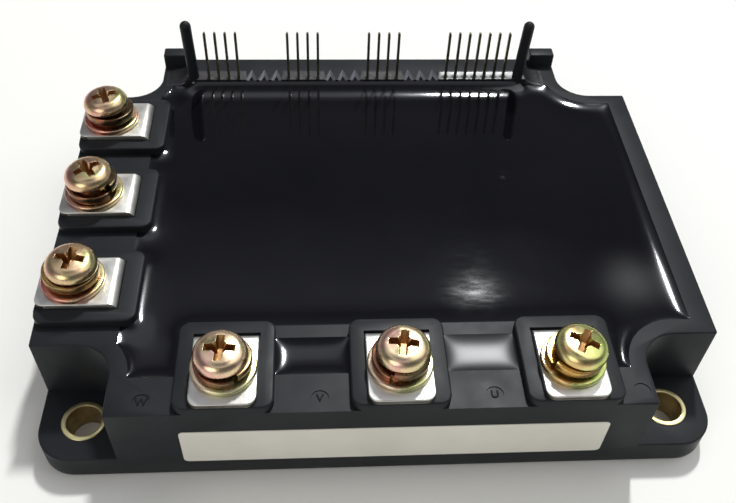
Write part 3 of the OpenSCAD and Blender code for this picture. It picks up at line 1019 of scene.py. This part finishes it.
@dataclass
class ResinPool:
    """Poured resin that climbs the walls in a meniscus, gently at first and steeply at the wall."""

    # Grid that becomes the surface
    skin: float = 0.01
    step: float = 0.33
    low: Pair = (-42.0, -38.2)
    high: Pair = (51.6, 41.0)
    floor: float = 8.0
    # How far the meniscus reaches in, with the start and length of each narrower stretch
    reach: float = 1.65
    narrow_reach: float = 1.05
    right_from: Pair = (40.0, 6.0)
    right_until: Pair = (24.0, 8.0)
    front_from: Pair = (-28.0, 4.0)
    # How high it climbs
    climb: float = 0.56
    comb_climb: float = 1.65
    comb_y: float = 34.4
    comb_blend: float = 1.6
    # Uneven edge, as waves along x and y
    unevenness: float = 0.01
    uneven_x: Pair = (0.41, 0.7)
    uneven_y: float = 0.53
    # Limits of the solver
    rounds: int = 300
    slopes: Pair = (0.02, 8.0)
    tiny: float = 1e-9
    # Ripples, each with its size, steps along x and y and start, and one fleck
    ripple: float = 0.005
    waves: tuple[tuple[float, float, float, float], ...] = (
        (1.0, 0.31, 0.22, 0.0), (0.7, 0.17, -0.36, 1.3), (0.5, 0.58, 0.0, 0.4),
    )
    fleck: Pair = (25.5, 7.4)
    fleck_rise: float = 0.09
    fleck_spread: float = 0.8

    def build(self, nodes: Nodes) -> None:
        """Model the resin and fix it to the module.

        Args:
            nodes: the CAD nodes by name.
        """
        core = copy_node(nodes, "potting_resin", "resin_core")
        top = RESIN_LEVEL - self.skin
        pool = gridded_block("resin_pool", self.low, self.high, self.step, top, RESIN_LEVEL - self.floor)
        combine(pool, core, "INTERSECT")
        with editing(pool, Part.FACE):
            bpy.ops.mesh.quads_convert_to_tris()
        self.raise_meniscus(pool)
        smooth(pool, SOFT_DEG)
        mount_piece(pool, POURED_RESIN.make(), "potting", "potting_resin")

    def raise_meniscus(self, pool: Piece) -> None:
        """Lift the surface near the walls as wet resin stands, and ripple it a little.

        Args:
            pool: the flat pool, in triangles.
        """
        points = read_points(pool)
        pool.data.calc_loop_triangles()
        corners = np.empty(len(pool.data.loop_triangles) * 3, dtype=np.int64)
        pool.data.loop_triangles.foreach_get("vertices", corners)
        corners = corners.reshape(-1, 3)
        surface = corners[(points[corners][:, :, 2] > (RESIN_LEVEL - 2 * self.skin) * MM).all(axis=1)]
        on_top = np.zeros(len(points), dtype=bool)
        on_top[surface] = True
        lift = self.solve_climb(points[:, :2] / MM, surface)[on_top]
        x, y = points[on_top, 0] / MM, points[on_top, 1] / MM
        uneven = np.sin(self.uneven_x[0] * x + self.uneven_x[1]) * np.sin(self.uneven_y * y)
        ripple = sum(size * np.sin(along * x + across * y + at) for size, along, across, at in self.waves)
        away = (x - self.fleck[0]) ** 2 + (y - self.fleck[1]) ** 2
        height = (1.0 + self.unevenness * uneven) * lift
        height += np.clip(1.0 - lift, 0.0, 1.0) * self.ripple * ripple
        height += self.fleck_rise * np.exp(-away / self.fleck_spread)
        points[on_top, 2] = (RESIN_LEVEL + height) * MM
        write_points(pool, points)

    def wall_climb(self, plan: np.ndarray) -> np.ndarray:
        """Height to which the resin wets a wall, greater at the comb.

        Args:
            plan: x and y of all points, in millimetres.

        Returns:
            The height above the level at each point.
        """
        inside = np.minimum(plan[:, 0] - COMB_ENDS[0], COMB_ENDS[1] - plan[:, 0])
        share = ease(inside / self.comb_blend) * (plan[:, 1] > self.comb_y)
        return self.climb + share * (self.comb_climb - self.climb)

    def local_reach(self, plan: np.ndarray) -> np.ndarray:
        """How far the meniscus reaches inwards, less at the right wall and between the front terminals.

        Args:
            plan: x and y of all points, in millimetres.

        Returns:
            The reach at each point.
        """
        x, y = plan[:, 0], plan[:, 1]
        right = ease((x - self.right_from[0]) / self.right_from[1])
        right = right * ease((self.right_until[0] - y) / self.right_until[1])
        front = ease((self.front_from[0] - y) / self.front_from[1])
        return self.reach + np.maximum(right, front) * (self.narrow_reach - self.reach)

    def solve_climb(self, plan: np.ndarray, faces: np.ndarray) -> np.ndarray:
        """Solve the height of a meniscus that stands at the walls and fades inwards.

        Args:
            plan: x and y of all points, in millimetres.
            faces: the surface's triangles, as point numbers.

        Returns:
            The height above the level at each point.
        """
        count = len(plan)
        starts, ends, weights = [], [], []
        area = np.zeros(count)
        for i in range(3):
            a, b, c = faces[:, i], faces[:, (i + 1) % 3], faces[:, (i + 2) % 3]
            to_a, to_b = plan[a] - plan[c], plan[b] - plan[c]
            cross = np.abs(to_a[:, 0] * to_b[:, 1] - to_a[:, 1] * to_b[:, 0]) + self.tiny
            slope = np.clip((to_a * to_b).sum(axis=1) / cross, *self.slopes) / 2
            starts += [a, b]
            ends += [b, a]
            weights += [slope, slope]
            area += np.bincount(a, cross / 6, count)
        start, end, weight = np.concatenate(starts), np.concatenate(ends), np.concatenate(weights)
        total = np.bincount(start, weight, count) + area / self.local_reach(plan) ** 2 + self.tiny
        wall = self.wall_points(faces, count)
        climb = self.wall_climb(plan)
        height = np.where(wall, climb, 0.0)
        for _ in range(self.rounds):
            height = np.bincount(start, weight * height[end], count) / total
            height[wall] = climb[wall]
        return height

    @staticmethod
    def wall_points(faces: np.ndarray, count: int) -> np.ndarray:
        """Points on the edge of a surface.

        Args:
            faces: the surface's triangles, as point numbers.
            count: number of points.

        Returns:
            True for each point that lies on the edge.
        """
        edges = np.sort(np.concatenate([faces[:, [0, 1]], faces[:, [1, 2]], faces[:, [2, 0]]]), axis=1)
        unique, uses = np.unique(edges, axis=0, return_counts=True)
        wall = np.zeros(count, dtype=bool)
        wall[unique[uses == 1]] = True
        return wall


@dataclass
class Ring:
    """Ring of rectangular section with round corners, closed or split."""

    inner_d: float
    outer_d: float
    low: float
    high: float
    corner: float
    split_deg: float = 0.0
    rise: float = 0.0
    steps: int = 72
    corner_steps: int = 3
    merge: float = 0.0005

    def build(self, name: str) -> Piece:
        """Sweep the section round the Z axis.

        Args:
            name: the piece's name.

        Returns:
            A closed ring at the origin, with any split centred on +X.
        """
        width = (self.outer_d - self.inner_d) / 2
        height = self.high - self.low - self.rise
        deselect()
        bpy.ops.mesh.primitive_plane_add(size=1.0, location=(0.0, 0.0, 0.0))
        ring = bpy.context.object
        ring.name = ring.data.name = name
        ring.scale = (width * MM, height * MM, 1.0)
        ring.rotation_euler = (math.pi / 2, 0.0, 0.0)
        ring.location = ((self.inner_d + width) / 2 * MM, 0.0, (self.low + height / 2) * MM)
        settle(ring)
        with editing(ring, Part.VERT):
            bpy.ops.mesh.bevel(
                offset=self.corner * MM, segments=self.corner_steps, affect="VERTICES", clamp_overlap=True
            )
            bpy.ops.mesh.select_all(action="SELECT")
            bpy.ops.mesh.delete(type="ONLY_FACE")
        ring.data.transform(turned(-self.split_deg / 2))
        modify(
            ring, "SCREW", axis="Z", angle=math.radians(self.split_deg - 360.0), steps=self.steps,
            render_steps=self.steps, screw_offset=self.rise * MM, use_merge_vertices=self.split_deg == 0.0,
            merge_threshold=self.merge * MM,
        )
        with editing(ring, Part.VERT):
            bpy.ops.mesh.remove_doubles(threshold=self.merge * MM)
            bpy.ops.mesh.fill_holes(sides=0)
            bpy.ops.mesh.normals_make_consistent(inside=False)
        smooth(ring)
        return ring


@dataclass
class PanScrew:
    """Pan head screw with a cross recess, head underside at Z = 0."""

    # Head
    head_d: float = 8.2
    head_h: float = 2.1
    head_round: float = 1.75
    head_steps: int = 9
    head_foot: float = 0.2
    foot_steps: int = 3
    crown: float = 0.28
    crown_steps: Triple = (0.5, 0.6, 0.6)
    # Shank
    shank_d: float = 5.0
    shank_l: float = 10.0
    chamfer: float = 0.5
    # Cross recess and its cutters
    recess_l: float = 5.5
    recess_w: float = 1.3
    recess_h: float = 1.8
    recess_flare: float = 1.06
    recess_above: float = 1.0
    recess_waist: float = 0.5
    recess_taper: Triple = (0.42, 0.6, 1.0)
    recess_core: Pair = (0.8, 1.7)
    core_proud: float = 0.01
    # Rounded edge of the recess, and the depth below which its inside is painted dark as shade
    recess_edge: float = 0.1
    edge_steps: int = 2
    edge_zone: float = 0.3
    edge_depth: float = 0.4
    edge_deg: float = 40.0
    painted_shade_depth: float = 0.25
    sides: int = 72

    def build(self) -> Piece:
        """Model the screw once.

        Returns:
            The screw at the origin.
        """
        deselect()
        bpy.ops.mesh.primitive_cylinder_add(
            vertices=self.sides, radius=self.head_d / 2 * MM, depth=self.head_h * MM,
            location=(0.0, 0.0, self.head_h / 2 * MM),
        )
        screw = bpy.context.object
        screw.name = screw.data.name = "screw_master"
        settle(screw)
        high, low = self.head_h / 2 * MM, self.head_foot / 2 * MM
        with editing(screw, Part.EDGE, lambda edge: all(vert.co.z > high for vert in edge.verts)):
            bpy.ops.mesh.bevel(offset=self.head_round * MM, segments=self.head_steps, profile=0.5)
        with editing(screw, Part.EDGE, lambda edge: all(vert.co.z < low for vert in edge.verts)):
            bpy.ops.mesh.bevel(offset=self.head_foot * MM, segments=self.foot_steps, profile=0.5)
        self.add_crown(screw)
        self.add_shank(screw)
        for angle in (0.0, 90.0):
            combine(screw, self.recess_arm(angle), "DIFFERENCE")
        combine(screw, self.recess_middle(), "DIFFERENCE")
        tidy_mesh(screw)
        with editing(screw, Part.EDGE, self.is_recess_edge):
            bpy.ops.mesh.bevel(
                offset=self.recess_edge * MM, segments=self.edge_steps, profile=0.5, clamp_overlap=True
            )
        # Faces deep in the recess take the second slot, whose dark colour paints the shade inside it.
        for face in screw.data.polygons:
            sunk = self.head_foot * MM < face.center.z < (self.head_h - self.painted_shade_depth) * MM
            inside = math.hypot(face.center.x, face.center.y) < (self.recess_l / 2 + self.recess_edge) * MM
            face.material_index = int(sunk and inside)
        smooth(screw, self.edge_deg)
        return screw

    def add_crown(self, screw: Piece) -> None:
        """Raise the flat of the head into a low crown.

        Args:
            screw: the screw's head.
        """
        with editing(screw, Part.FACE, looks_up):
            for inset in self.crown_steps:
                bpy.ops.mesh.inset(thickness=inset * MM)
                bpy.ops.transform.translate(value=(0.0, 0.0, self.crown / len(self.crown_steps) * MM))

    def add_shank(self, screw: Piece) -> None:
        """Draw the shank out of the head's underside.

        Args:
            screw: the screw's head.
        """
        tip = 1.0 - 2 * self.chamfer / self.shank_d
        with editing(screw, Part.FACE, looks_down):
            bpy.ops.mesh.inset(thickness=((self.head_d - self.shank_d) / 2 - self.head_foot) * MM)
            for drop, scale in ((self.shank_l - self.chamfer, 1.0), (self.chamfer, tip)):
                bpy.ops.mesh.extrude_region_move(TRANSFORM_OT_translate={"value": (0.0, 0.0, -drop * MM)})
                bpy.ops.transform.resize(value=(scale, scale, 1.0))

    def recess_arm(self, angle_deg: float) -> Piece:
        """Tapered cutter for one arm of the cross.

        Args:
            angle_deg: angle of the arm about Z.

        Returns:
            The cutter.
        """
        tall = self.recess_h + self.recess_above
        size = (self.recess_l * self.recess_flare, self.recess_w * self.recess_flare, tall)
        arm = add_block(size, (0.0, 0.0, self.head_h - self.recess_h + tall / 2))
        with editing(arm, Part.VERT, lambda vert: vert.co.z < (self.head_h - self.recess_waist) * MM):
            bpy.ops.transform.resize(value=self.recess_taper)
        arm.data.transform(turned(angle_deg))
        return arm

    def recess_middle(self) -> Piece:
        """Tapered cutter that opens the middle of the cross between its arms.

        Returns:
            A four-sided pyramid stump with its corners along the arms.
        """
        low, high = self.recess_core
        deselect()
        bpy.ops.mesh.primitive_cone_add(
            vertices=4, radius1=low * MM, radius2=high * MM, depth=self.recess_h * MM,
            location=(0.0, 0.0, (self.head_h - self.recess_h / 2 + self.crown + self.core_proud) * MM),
        )
        core = bpy.context.object
        settle(core)
        return core

    def is_recess_edge(self, edge: bmesh.types.BMEdge) -> bool:
        """True for an edge where the recess opens in the crown.

        Args:
            edge: an edge of the screw.

        Returns:
            Whether it is to be rounded.
        """
        at = middle_mm(edge)
        inside = math.hypot(at.x, at.y) < self.recess_l / 2 + self.edge_zone
        return inside and at.z > self.head_h - self.edge_depth and is_convex(edge, self.edge_deg)


class Fastener(Enum):
    """Kinds of fasteners on a terminal, with the CAD nodes that hold them."""

    SCREW = "terminal_screws"
    SPRING = "spring_washers"
    WASHER = "flat_washers"


@dataclass
class TerminalSet:
    """Bent plates with their screws, spring washers and flat washers."""

    # Plates, with their cut sides painted dark as shade
    plate_round: float = 0.16
    round_steps: int = 3
    round_deg: float = 45.0
    cut_tilt: float = 0.25
    cut_depth: float = 1.2
    # Washers: bore, outside and height
    washer: Triple = (5.5, 10.0, 1.0)
    washer_corner: float = 0.22
    spring: Triple = (5.5, 8.8, 2.2)
    spring_corner: float = 0.18
    split_deg: float = 9.0
    spring_rise: float = 0.95

    def build(self, nodes: Nodes) -> None:
        """Model the terminals and fix them to the module.

        Args:
            nodes: the CAD nodes by name.
        """
        screw, flat, split = PanScrew().build(), self.flat_washer(), self.spring_washer()
        tin, cut_shade, recess_shade = TIN_PLATE.make(), CUT_EDGE_SHADE.make(), RECESS_PAINTED_SHADE.make()
        for terminal in TERMINALS:
            mount_piece(self.plate(nodes, terminal), tin, "terminal_tin", terminal.node, second=cut_shade)
            on_plate = shift_mm(terminal.x, terminal.y, PLATE_TOP)
            on_spring = on_plate @ self.screw_place(terminal)
            on_washer = on_plate @ self.spring_place(terminal)
            self.place(terminal, Fastener.SCREW, screw, on_spring, terminal.tone, recess_shade)
            self.place(terminal, Fastener.SPRING, split, on_washer, terminal.spring_tone)
            self.place(terminal, Fastener.WASHER, flat, on_plate, terminal.washer_tone)
        for master in (screw, flat, split):
            discard(master)

    def flat_washer(self) -> Piece:
        """Model the flat washer once."""
        inner, outer, thick = self.washer
        return Ring(inner, outer, 0.0, thick, self.washer_corner).build("washer_master")

    def spring_washer(self) -> Piece:
        """Model the split spring washer once.

        Returns:
            The washer at the origin.
        """
        inner, outer, high = self.spring
        ring = Ring(inner, outer, 0.0, high, self.spring_corner, self.split_deg, self.spring_rise)
        return ring.build("spring_master")

    def plate(self, nodes: Nodes, terminal: Terminal) -> Piece:
        """Model one bent plate.

        Args:
            nodes: the CAD nodes by name.
            terminal: the terminal that the plate belongs to.

        Returns:
            The plate with round edges and its cut sides marked.
        """
        plate = copy_node(nodes, terminal.node, f"plate_{terminal.name}")
        round_edges(plate, self.plate_round, self.round_steps, self.round_deg)
        # Upright faces near the top take the second slot, whose dark colour paints the shade on the cut
        # sides.
        for face in plate.data.polygons:
            upright = abs(face.normal.z) < self.cut_tilt
            face.material_index = int(upright and face.center.z > (PLATE_TOP - self.cut_depth) * MM)
        smooth(plate)
        return plate

    def screw_place(self, terminal: Terminal) -> Matrix:
        """Place and turn of a screw above its plate, leaning and lifted as it stands there."""
        lift = shift_mm(terminal.shift, 0.0, self.washer[2] + self.spring[2] + terminal.lift)
        return turned(terminal.lean_deg, "Y") @ lift @ turned(terminal.recess_deg)

    def spring_place(self, terminal: Terminal) -> Matrix:
        """Place, turn and stretch of a spring washer above its plate."""
        stretch = Matrix.Diagonal((1.0, 1.0, 1.0 + terminal.lift / self.spring[2], 1.0))
        return shift_mm(0.0, 0.0, self.washer[2]) @ turned(terminal.split_deg) @ stretch

    @staticmethod
    def place(
        terminal: Terminal, kind: Fastener, master: Piece, where: Matrix, tone: Tone,
        second: Material | None = None,
    ) -> None:
        """Put a copy of a fastener on a terminal.

        Args:
            terminal: the terminal that it fastens.
            kind: what the fastener is.
            master: the piece modelled once.
            where: the copy's place and turn.
            tone: tint of its plating.
            second: finish of the recess, a dark colour that paints its shade.
        """
        name = f"{kind.name.lower()}_{terminal.name}"
        finish = zinc(tone, name, terminal.x).make()
        mount_piece(copy_mesh(master, name, where), finish, "yellow_zinc", kind.value, second=second)


@dataclass
class MountCollars:
    """Turned collars in the mounting holes."""

    inner_d: float = 5.5
    outer_d: float = 7.2
    low: float = 0.0
    high: float = 5.2
    corner: float = 0.14
    bore_skin: float = 0.125

    def build(self) -> None:
        """Model one collar, copy it to the four holes and fix them."""
        master = Ring(self.inner_d, self.outer_d, self.low, self.high, self.corner).build("collar_master")
        # Faces of the bore take the second slot, whose darker brass paints the shade inside the hole.
        bore_r = self.inner_d / 2 + self.bore_skin
        for face in master.data.polygons:
            face.material_index = int(math.hypot(face.center.x, face.center.y) < bore_r * MM)
        brass, bore_shade = COLLAR_BRASS.make(), COLLAR_BORE_SHADE.make()
        for number, (x, y) in enumerate(HOLES, start=1):
            collar = copy_mesh(master, f"collar_{number}", shift_mm(x, y, 0.0))
            mount_piece(collar, brass, "collar_brass", "mount_collars", second=bore_shade)
        discard(master)


@dataclass
class BasePlate:
    """Metal plate on the underside."""

    edge_round: float = 0.2
    round_steps: int = 2
    round_deg: float = 50.0

    def build(self, nodes: Nodes) -> None:
        """Model the plate and fix it to the module.

        Args:
            nodes: the CAD nodes by name.
        """
        plate = copy_node(nodes, "base_plate", "ground_plate")
        round_edges(plate, self.edge_round, self.round_steps, self.round_deg)
        smooth(plate)
        mount_piece(plate, BASE_NICKEL.make(), "base_metal", "base_plate")


@dataclass
class CombGrooves:
    """Pointed grooves in the back wall, filled with resin that has a dull skin along their edges, coloured
    light grey as a painted sheen of lit resin.
    """

    mouth_y: float = 34.5
    depth: float = 3.5
    width: float = 2.5
    before: float = 1.0
    start_x: float = -25.49
    step: float = 2.555
    groups: int = 3
    in_group: int = 3
    low: float = 16.7
    high: float = 18.93
    skin: float = 0.66
    sink: float = 0.25

    def build(self) -> None:
        """Model one filling, copy it to the nine grooves and fix them."""
        master = self.filling()
        # The first finish is the light grey that paints a sheen on the groove edges.
        skin, resin = GROOVE_PAINTED_SHEEN.make(), POURED_RESIN.make()
        for group in range(self.groups):
            for groove in range(1, self.in_group + 1):
                x = self.start_x + group * PIN_GROUP_PITCH + groove * self.step
                number = group * self.in_group + groove
                piece = copy_mesh(master, f"groove_resin_{number}", shift_mm(x, 0.0, 0.0))
                mount_piece(piece, skin, "potting", second=resin)
        discard(master)

    def filling(self) -> Piece:
        """Model the resin of one groove at X = 0.

        Returns:
            A pointed wedge with a sunken middle, open at the groove's mouth.
        """
        length = self.depth + self.before
        size = (self.width * length / self.depth, length, self.high - self.low)
        wedge = add_block(size, (0.0, self.mouth_y - self.before + length / 2, (self.low + self.high) / 2))
        mouth = self.mouth_y * MM
        with editing(wedge, Part.VERT, lambda vert: vert.co.y > mouth):
            bpy.ops.transform.resize(value=(0.0, 1.0, 1.0))
        tidy_mesh(wedge)
        with editing(wedge, Part.FACE, looks_up):
            bpy.ops.mesh.inset(thickness=self.skin * MM)
            bpy.ops.transform.translate(value=(0.0, 0.0, -self.sink * MM))
            bpy.ops.mesh.select_all(action="SELECT")
            bpy.ops.mesh.bisect(
                plane_co=(0.0, mouth, 0.0), plane_no=(0.0, 1.0, 0.0), use_fill=True, clear_inner=True
            )
        tidy_mesh(wedge)
        # Faces that look straight up take the glossy resin; the other faces keep the light grey that paints
        # the sheen.
        for face in wedge.data.polygons:
            face.material_index = int(looks_up(face))
        return wedge


@dataclass
class PinBeads:
    """Resin beads at the feet of the signal pins, one for each group."""

    # Pins
    pin_width: float = 0.5
    pin_y: float = 35.05
    first_x: float = -31.55
    pitch: float = 2.02
    groups: tuple[int, ...] = (4, 4, 4, 7)
    # Beads, with a hollow front slope, a crest and a round back
    ends: tuple[Pair, ...] = ((-36.2, -24.0), (-16.8, -7.73), (-0.53, 8.55), (15.75, 34.1))
    end_run: float = 0.9
    front: float = 34.65
    front_run: float = 0.3
    crest: float = 36.84
    back: float = 37.63
    rise: float = 0.24
    hollow: float = 1.6
    # Resin drawn up by each pin
    collar_rise: float = 0.12
    collar_reach: float = 0.28
    step: float = 0.12
    glossy_bead: int = 4

    def pin_places(self) -> list[float]:
        """Places of the pins along the back wall, in order."""
        return [
            self.first_x + group * PIN_GROUP_PITCH + pin * self.pitch
            for group, count in enumerate(self.groups)
            for pin in range(count)
        ]

    def build(self) -> None:
        """Model the beads and fix them."""
        dull, glossy = DULL_RESIN.make(), BEAD_RESIN.make()
        for number, (start, end) in enumerate(self.ends, start=1):
            finish = glossy if number == self.glossy_bead else dull
            mount_piece(self.bead(number, start, end), finish, "potting")

    def bead(self, number: int, start: float, end: float) -> Piece:
        """Model one bead of resin that wets a group of pins.

        Args:
            number: number of the group.
            start: left end of the bead.
            end: right end of the bead.

        Returns:
            A closed low bead on the back wall.
        """
        low, high = (start, self.front), (end, self.back)
        bead = gridded_block(f"pin_bead_{number}", low, high, self.step, COMB_TOP, DRAPE_SUNK)

        def height(x: np.ndarray, y: np.ndarray) -> np.ndarray:
            """Height of the bead over its plan.

            Args:
                x: places along X.
                y: places along Y.

            Returns:
                The height at each place.
            """
            climb = np.clip((y - self.front) / (self.crest - self.front), 0.0, 1.0) ** self.hollow
            past = np.clip(y - self.crest, 0.0, None) / (self.back - self.crest)
            fall = np.sqrt(np.clip(1.0 - past**2, 0.0, 1.0))
            ends = np.clip(np.minimum(x - start, end - x) / self.end_run, 0.0, 1.0)
            ends = np.sqrt(ends * (2.0 - ends))
            away = np.min([np.hypot(x - place, y - self.pin_y) for place in self.pin_places()], axis=0)
            collar = np.exp(-np.clip(away - self.pin_width / 2, 0.0, None) / self.collar_reach)
            edge = np.clip((y - self.front) / self.front_run, 0.0, 1.0)
            return (self.rise * climb + self.collar_rise * collar * edge) * ends * fall

        drape(bead, COMB_TOP, height)
        return bead


@dataclass
class EndFillets:
    """Resin that runs down from both ends of the raised pin land onto the rim."""

    ends: tuple[tuple[str, float, float], ...] = (("left", COMB_ENDS[0], -1.0), ("right", COMB_ENDS[1], 1.0))
    length: float = 4.2
    y: Pair = (34.55, 41.2)
    base: float = RIM_TOP + 0.005
    rise: float = 1.3
    reach: float = 1.3
    end_run: float = 1.2
    front_run: float = 0.7
    front_start: float = 0.35
    back_run: float = 1.2
    step: float = 0.15

    def build(self) -> None:
        """Model both fillets and fix them."""
        resin = LAND_RESIN.make()
        for name, start, way in self.ends:
            mount_piece(self.fillet(name, start, way), resin, "potting")

    def fillet(self, name: str, start: float, way: float) -> Piece:
        """Model the fillet at one end.

        Args:
            name: which end.
            start: place of the land's end along X.
            way: direction away from the land.

        Returns:
            A closed low slope on the rim.
        """
        far = start + way * self.length
        low, high = (min(start, far), self.y[0]), (max(start, far), self.y[1])
        piece = gridded_block(f"fillet_{name}", low, high, self.step, self.base, DRAPE_SUNK)

        def height(x: np.ndarray, y: np.ndarray) -> np.ndarray:
            """Height of the slope over its plan.

            Args:
                x: places along X.
                y: places along Y.

            Returns:
                The height at each place.
            """
            out = (x - start) * way
            front = ease((y - self.y[0]) / self.front_run + self.front_start)
            sides = front * ease((self.y[1] - y) / self.back_run)
            return self.rise * np.exp(-out / self.reach) * ease((self.length - out) / self.end_run) * sides

        drape(piece, self.base, height)
        return piece


class CarriedNodes:
    """CAD nodes that keep their shape and only get a finish."""

    finishes: dict[str, Finish] = {
        "blank_label": LABEL_FILM,
        "signal_pin": PIN_BRONZE,
        "terminal_nuts": NUT_ZINC,
        "control_board": BOARD_GREEN,
        "driver_chip": DRIVER_BLACK,
        "silicone_gel": GEL_CLEAR,
        "substrate": SUBSTRATE_WHITE,
        "igbt_chip": SILICON_GREY,
        "diode_chip": SILICON_GREY,
        "bond_wires": BOND_ALUMINIUM,
    }

    def dress(self, nodes: Nodes) -> None:
        """Give each of these nodes its material.

        Args:
            nodes: the CAD nodes by name.
        """
        made: dict[str, Material] = {}
        for name, node in nodes.items():
            for start, finish in self.finishes.items():
                if name.startswith(start):
                    if finish.name not in made:
                        made[finish.name] = finish.make()
                    node.data.materials.clear()
                    node.data.materials.append(made[finish.name])
                    LOG.info("%s: %s", name, finish.name)


# The plain studio around the module


@dataclass(frozen=True)
class Lamp:
    """One soft lamp that points at the module, with its distance and size in metres."""

    name: str
    towards: Triple
    distance: float
    size: Pair
    watts: float
    tint: Colour

    def build(self) -> None:
        """Hang the lamp."""
        data = bpy.data.lights.new(self.name, "AREA")
        data.shape = "ELLIPSE"
        data.size, data.size_y = self.size
        data.energy = self.watts
        data.color = self.tint
        lamp = bpy.data.objects.new(self.name, data)
        lamp.location = Vector(self.towards).normalized() * self.distance
        lamp.rotation_euler = (-lamp.location).to_track_quat("-Z", "Y").to_euler()
        bpy.context.scene.collection.objects.link(lamp)


@dataclass
class Studio:
    """Pale floor, soft lamps, dim sky and camera."""

    # Floor, its size in metres
    floor_size: float = 4.0
    floor_colour: Colour = (0.91, 0.90, 0.845)
    floor_rough: float = 0.7
    floor_specular: float = 0.2
    # Camera
    camera_mm: Triple = (-9.571, -111.570, 126.600)
    camera_turn_deg: Triple = (42.3328, -1.9013, -2.7832)
    lens_mm: float = 42.0144
    sensor_mm: float = 36.0
    nearest_m: float = 0.01
    # Lamps, and the sky's level by height and from front to back
    lamps: tuple[Lamp, ...] = (
        Lamp("key", (0.185, 0.530, 0.8240), 1.2, (0.07, 0.16), 10.5, (0.97, 0.99, 1.0)),
        Lamp("fill", (0.60, 0.10, 0.79), 1.0, (0.9, 0.9), 2.4, (0.98, 0.99, 1.0)),
        Lamp("front", (-0.52, -0.74, 0.46), 1.2, (0.8, 0.8), 3.3, (1.0, 0.97, 0.90)),
    )
    sky: tuple[Pair, ...] = (
        (0.0, 0.45), (0.35, 0.16), (0.70, 0.09), (0.75, 0.20), (0.79, 0.36), (0.81, 0.70), (0.88, 0.85),
        (0.93, 0.60), (0.97, 0.20), (1.0, 0.15),
    )
    sky_tint: Colour = (0.94, 0.96, 1.06)
    front_share: tuple[Pair, ...] = ((0.0, 0.75), (0.42, 0.70), (0.55, 1.0), (1.0, 1.0))
    front_tint: Colour = (1.0, 1.0, 1.0)

    def build(self) -> None:
        """Set up floor, light, sky and camera."""
        self.add_floor()
        for lamp in self.lamps:
            lamp.build()
        self.add_sky()
        self.add_camera()
        bpy.context.scene.view_settings.view_transform = "Standard"

    def add_floor(self) -> None:
        """Lay a plain pale floor."""
        deselect()
        bpy.ops.mesh.primitive_plane_add(size=self.floor_size, location=(0.0, 0.0, 0.0))
        floor = bpy.context.object
        floor.name = "floor"
        graph = Graph("pale_floor")
        graph.put("Base Color", self.floor_colour)
        graph.put("Roughness", self.floor_rough)
        graph.put("Specular IOR Level", self.floor_specular)
        floor.data.materials.append(graph.material)

    def add_sky(self) -> None:
        """Light the scene from a dim sky that is brighter behind the module than in front."""
        world = bpy.data.worlds.new("studio")
        bpy.context.scene.world = world
        world.use_nodes = True
        tree = Tree(world.node_tree)
        way = tree.node("TexCoord", {}, "Generated")
        back = tree.node("MapRange", {"Value": tree.along(way, "Y"), "From Min": -1.0})
        over = tree.ramp(tree.along(way, "Z"), self.tinted(self.sky, self.sky_tint))
        share = tree.ramp(back, self.tinted(self.front_share, self.front_tint))
        light = tree.node("VectorMath", {0: over, 1: share}, operation="MULTIPLY")
        tree.join(light, world.node_tree.nodes["Background"].inputs["Color"])

    @staticmethod
    def tinted(levels: tuple[Pair, ...], tint: Colour) -> list[tuple[float, Colour]]:
        """Stops of a ramp that has one tint at different levels."""
        return [(place, tuple(level * part for part in tint)) for place, level in levels]

    def add_camera(self) -> None:
        """Stand the camera where the photograph was taken from."""
        data = bpy.data.cameras.new("camera")
        data.lens = self.lens_mm
        data.sensor_width = self.sensor_mm
        data.sensor_fit = "HORIZONTAL"
        data.clip_start = self.nearest_m
        camera = bpy.data.objects.new("camera", data)
        camera.location = Vector(self.camera_mm) * MM
        camera.rotation_euler = [math.radians(angle) for angle in self.camera_turn_deg]
        bpy.context.scene.collection.objects.link(camera)
        bpy.context.scene.camera = camera


def main() -> None:
    """Build every piece in order."""
    logging.basicConfig(level=logging.INFO, format="%(message)s")
    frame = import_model()
    nodes = frame["nodes"]
    CarriedNodes().dress(nodes)
    CaseShell().build(nodes)
    ResinPool().build(nodes)
    TerminalSet().build(nodes)
    MountCollars().build()
    BasePlate().build(nodes)
    CombGrooves().build()
    PinBeads().build()
    EndFillets().build()
    Studio().build()


if __name__ == "__main__":
    main()
